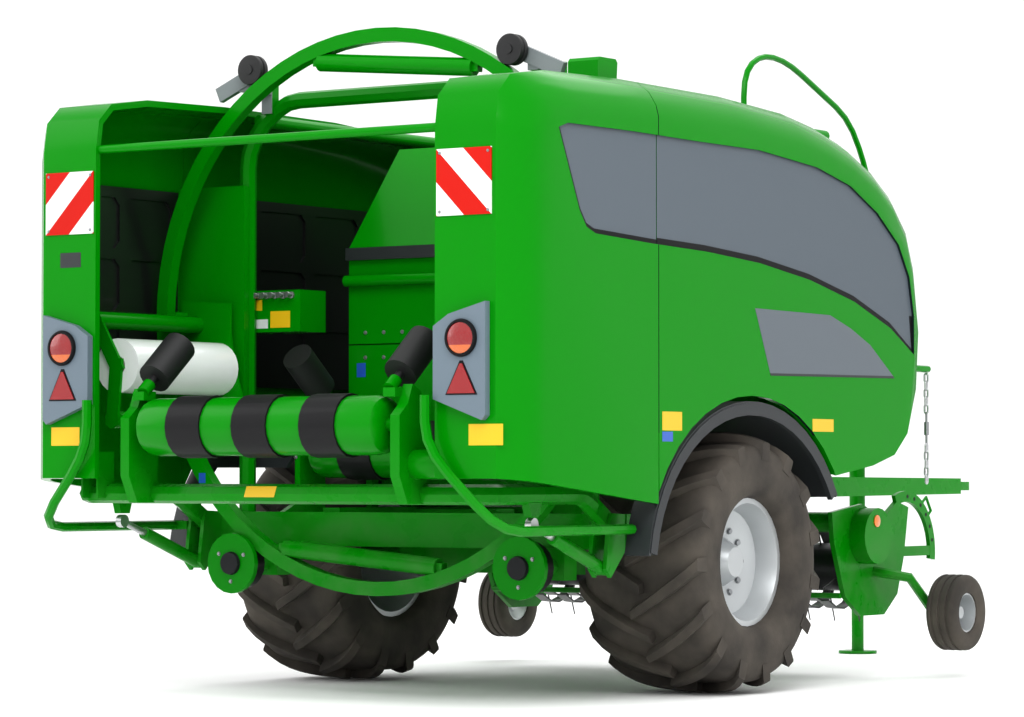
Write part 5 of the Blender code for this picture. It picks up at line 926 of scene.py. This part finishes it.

# Height quadrants: a curved plate with a row of holes at each end of the pickup, for the gauge wheel's pin.
# They are flame-cut steel, painted green, with black plugs as painted shade in the drilled holes, a bent grip and a
# round reflector.
QUADRANT_Y, QUADRANT_Z = 1.93, 0.62
QUADRANT_R = 0.285
QUADRANT_HALF_WIDTH = 0.0275
reflector_amber = plain("reflector_amber", (0.80, 0.19, 0.01, 1), 0.25, coat=1.0)


def on_quadrant(radius, degrees):
    """A point of the quadrant's arc, fore and aft and up."""
    turn = math.radians(degrees)
    return QUADRANT_Y + radius * math.cos(turn), QUADRANT_Z + radius * math.sin(turn)


arc = range(-8, 113, 6)
quadrant_outline = [on_quadrant(QUADRANT_R + QUADRANT_HALF_WIDTH, t) for t in arc]
quadrant_outline += [on_quadrant(QUADRANT_R - QUADRANT_HALF_WIDTH, t) for t in reversed(arc)]
spoke_outline = ((1.784, 0.60), (2.19, 0.60), (2.19, 0.65), (1.784, 0.65))
grip_points = ((2.085, 0.85), (2.165, 0.90), (2.215, 0.83), (2.14, 0.775))
for word, sign in SIDES:
    work = bmesh.new()
    slab(work, quadrant_outline, "X", sign * 1.047, sign * 1.068)
    slab(work, spoke_outline, "X", sign * 1.048, sign * 1.067)
    piece(f"quadrant_{word}", work, green_paint, "pickup")
    # Painted shade: black plugs fill the holes and stand in for the dark seen through them.
    work = bmesh.new()
    for number in range(6):
        place = on_quadrant(QUADRANT_R, 12 + 15 * number)
        bar(work, (sign * 1.0465, *place), (sign * 1.0687, *place), 0.010, 20)
    piece(f"quadrant_holes_{word}", work, lamp_black, "pickup")
    work = bmesh.new()
    grip = [(sign * 1.0575, *place) for place in grip_points]
    for start, end in zip(grip, grip[1:]):
        bar(work, start, end, 0.007, 12)
    for corner in grip[1:3]:
        at_corner = Matrix.Translation(corner)
        bmesh.ops.create_uvsphere(work, u_segments=12, v_segments=8, radius=0.0072, matrix=at_corner)
    piece(f"quadrant_grip_{word}", work, green_paint, "pickup")
    found = on_surface("pickup_frame", (sign * 1.4, 1.452, 0.785), (-sign, 0, 0))
    if found and abs(found[1].x) > 0.9:
        button = ((0.0, -0.001), (0.03, -0.001), (0.03, 0.005), (0.02, 0.008), (0.0, 0.009))
        work = bmesh.new()
        lathe(work, [(r, found[0].x + sign * out) for r, out in button], "X", (0, 1.452, 0.785), 32)
        piece(f"round_reflector_{word}", work, reflector_amber, "pickup")

# Net box, gearbox and shaft: on the front cover, behind the drawbar.
# The box is folded sheet, the gearbox is cast and the shaft turns in a black cone guard.
COVER_FRONT_Y = 1.297
SHAFT_Z = 1.195
work = bmesh.new()
slab(work, (
    (COVER_FRONT_Y, 1.66), (1.54, 1.66), (1.62, 1.78), (1.62, 2.07), (1.57, 2.19), (1.46, 2.25),
    (COVER_FRONT_Y, 2.25),
), "X", -0.80, 0.80)
piece("net_box", work, green_paint, "chassis", 30)
work = bmesh.new()
slab(work, (
    (COVER_FRONT_Y, 1.05), (1.50, 1.03), (1.55, 1.07), (1.55, 1.32), (1.50, 1.36), (COVER_FRONT_Y, 1.36),
), "X", -0.14, 0.14)
piece("gearbox", work, green_paint, "chassis", 30)
work = bmesh.new()
lathe(work, ((0.0, 1.54), (0.07, 1.54), (0.062, 1.62), (0.056, 1.63), (0.0, 1.63)), "Y", (0, 0, SHAFT_Z), 32)
piece("shaft_guard", work, dark_plastic, "chassis")
work = bmesh.new()
lathe(work, ((0.0, 1.62), (0.026, 1.62), (0.026, 1.70), (0.022, 1.71), (0.0, 1.71)), "Y", (0, 0, SHAFT_Z), 24)
piece("shaft_end", work, bright_steel, "chassis")

# Gate trim: a folded rib at the chamber's shoulder, dark as painted shade under the fold, and a cross tube under
# it.
# Both are welded to the gate's skin and move with it.
GATE_HALF = 0.65
work = bmesh.new()
# Painted shade: the rib is dark plastic where the shoulder's fold lies in shadow.
slab(work, ((-0.549, 2.05), (-0.515, 2.05), (-0.515, 2.11), (-0.549, 2.11)), "X", -GATE_HALF, GATE_HALF)
piece("gate_rib", work, dark_plastic, "gate")
work = bmesh.new()
bar(work, (-GATE_HALF, -0.545, 1.95), (GATE_HALF, -0.545, 1.95), 0.028, 20)
piece("gate_tube", work, green_paint, "gate")

# Roof cover box: a small folded cover on the right shell's roof, behind the seam.
# It is painted with the shell and screwed to it.
work = bmesh.new()
slab(work, (
    (-1.10, 2.74), (-0.95, 2.74), (-0.94, 2.855), (-0.955, 2.87), (-1.085, 2.87), (-1.10, 2.855),
), "X", 1.01, 1.17)
piece("roof_box", work, green_paint, "chassis")

# Film rolls: the stretch film is wound on a grey card tube whose ends stand a little proud.
# The tube runs along the roll's longest side.
core_card = plain("core_card", (0.16, 0.15, 0.13, 1), 0.8)
for name, body in (("film_roll_low", "film_low"), ("film_roll_high", "film_high")):
    low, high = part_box(name)
    spans = high - low
    middle = (low + high) / 2 - FROM_AXLE
    reach = Vector([span / 2 + 0.0002 if span == max(spans) else 0 for span in spans])
    work = bmesh.new()
    bar(work, middle - reach, middle + reach, 0.045, 32)
    piece(f"{name}_core", work, core_card, body)

# Valve block: a row of steel fittings and their caps on the face of the valve box.
# Each is turned and screwed in.
work = bmesh.new()
lathe(work, (
    (0.0, -0.002), (0.017, -0.002), (0.017, 0.010), (0.011, 0.012), (0.011, 0.030), (0.015, 0.031),
    (0.015, 0.045), (0.0, 0.047),
), "Z", (0, 0, 0), 12)
fitting_mesh = small_mesh("fitting", work)
found = [on_surface("valve_box", (-1.05 + 0.05 * number, -1.1, 1.875), FORWARDS) for number in range(7)]
fittings = [(*spot, 0.0) for spot in found if spot]
repeated("valve_fittings", fitting_mesh, fittings, 1.0, bolt_steel, "chassis")

# Top pulleys: two black rollers side by side on one pin, which hold the ring's upper rim.
# They are moulded with a groove between them and replace the frame's plain rollers.
# shares of the radius and of the half width
half_pulley = (
    (0.0, 1.0), (0.3, 1.0), (0.3, 0.86), (0.8, 0.84), (0.97, 0.8), (1.0, 0.7), (1.0, 0.24), (0.95, 0.16),
    (0.6, 0.14),
)
for word, sign in SIDES:
    low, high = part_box(f"top_pulley_{word}")
    radius, half = (high.z - low.z) / 2, (high.y - low.y) / 2
    profile = [(radius * r, half * s) for r, s in half_pulley]
    profile += [(r, -s) for r, s in reversed(profile)]
    work = bmesh.new()
    lathe(work, profile, "Y", (low + high) / 2 - FROM_AXLE, 64)
    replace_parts(piece(f"pulley_pair_{word}", work, black_rubber, f"ring_pulley_{word}"), f"top_pulley_{word}")
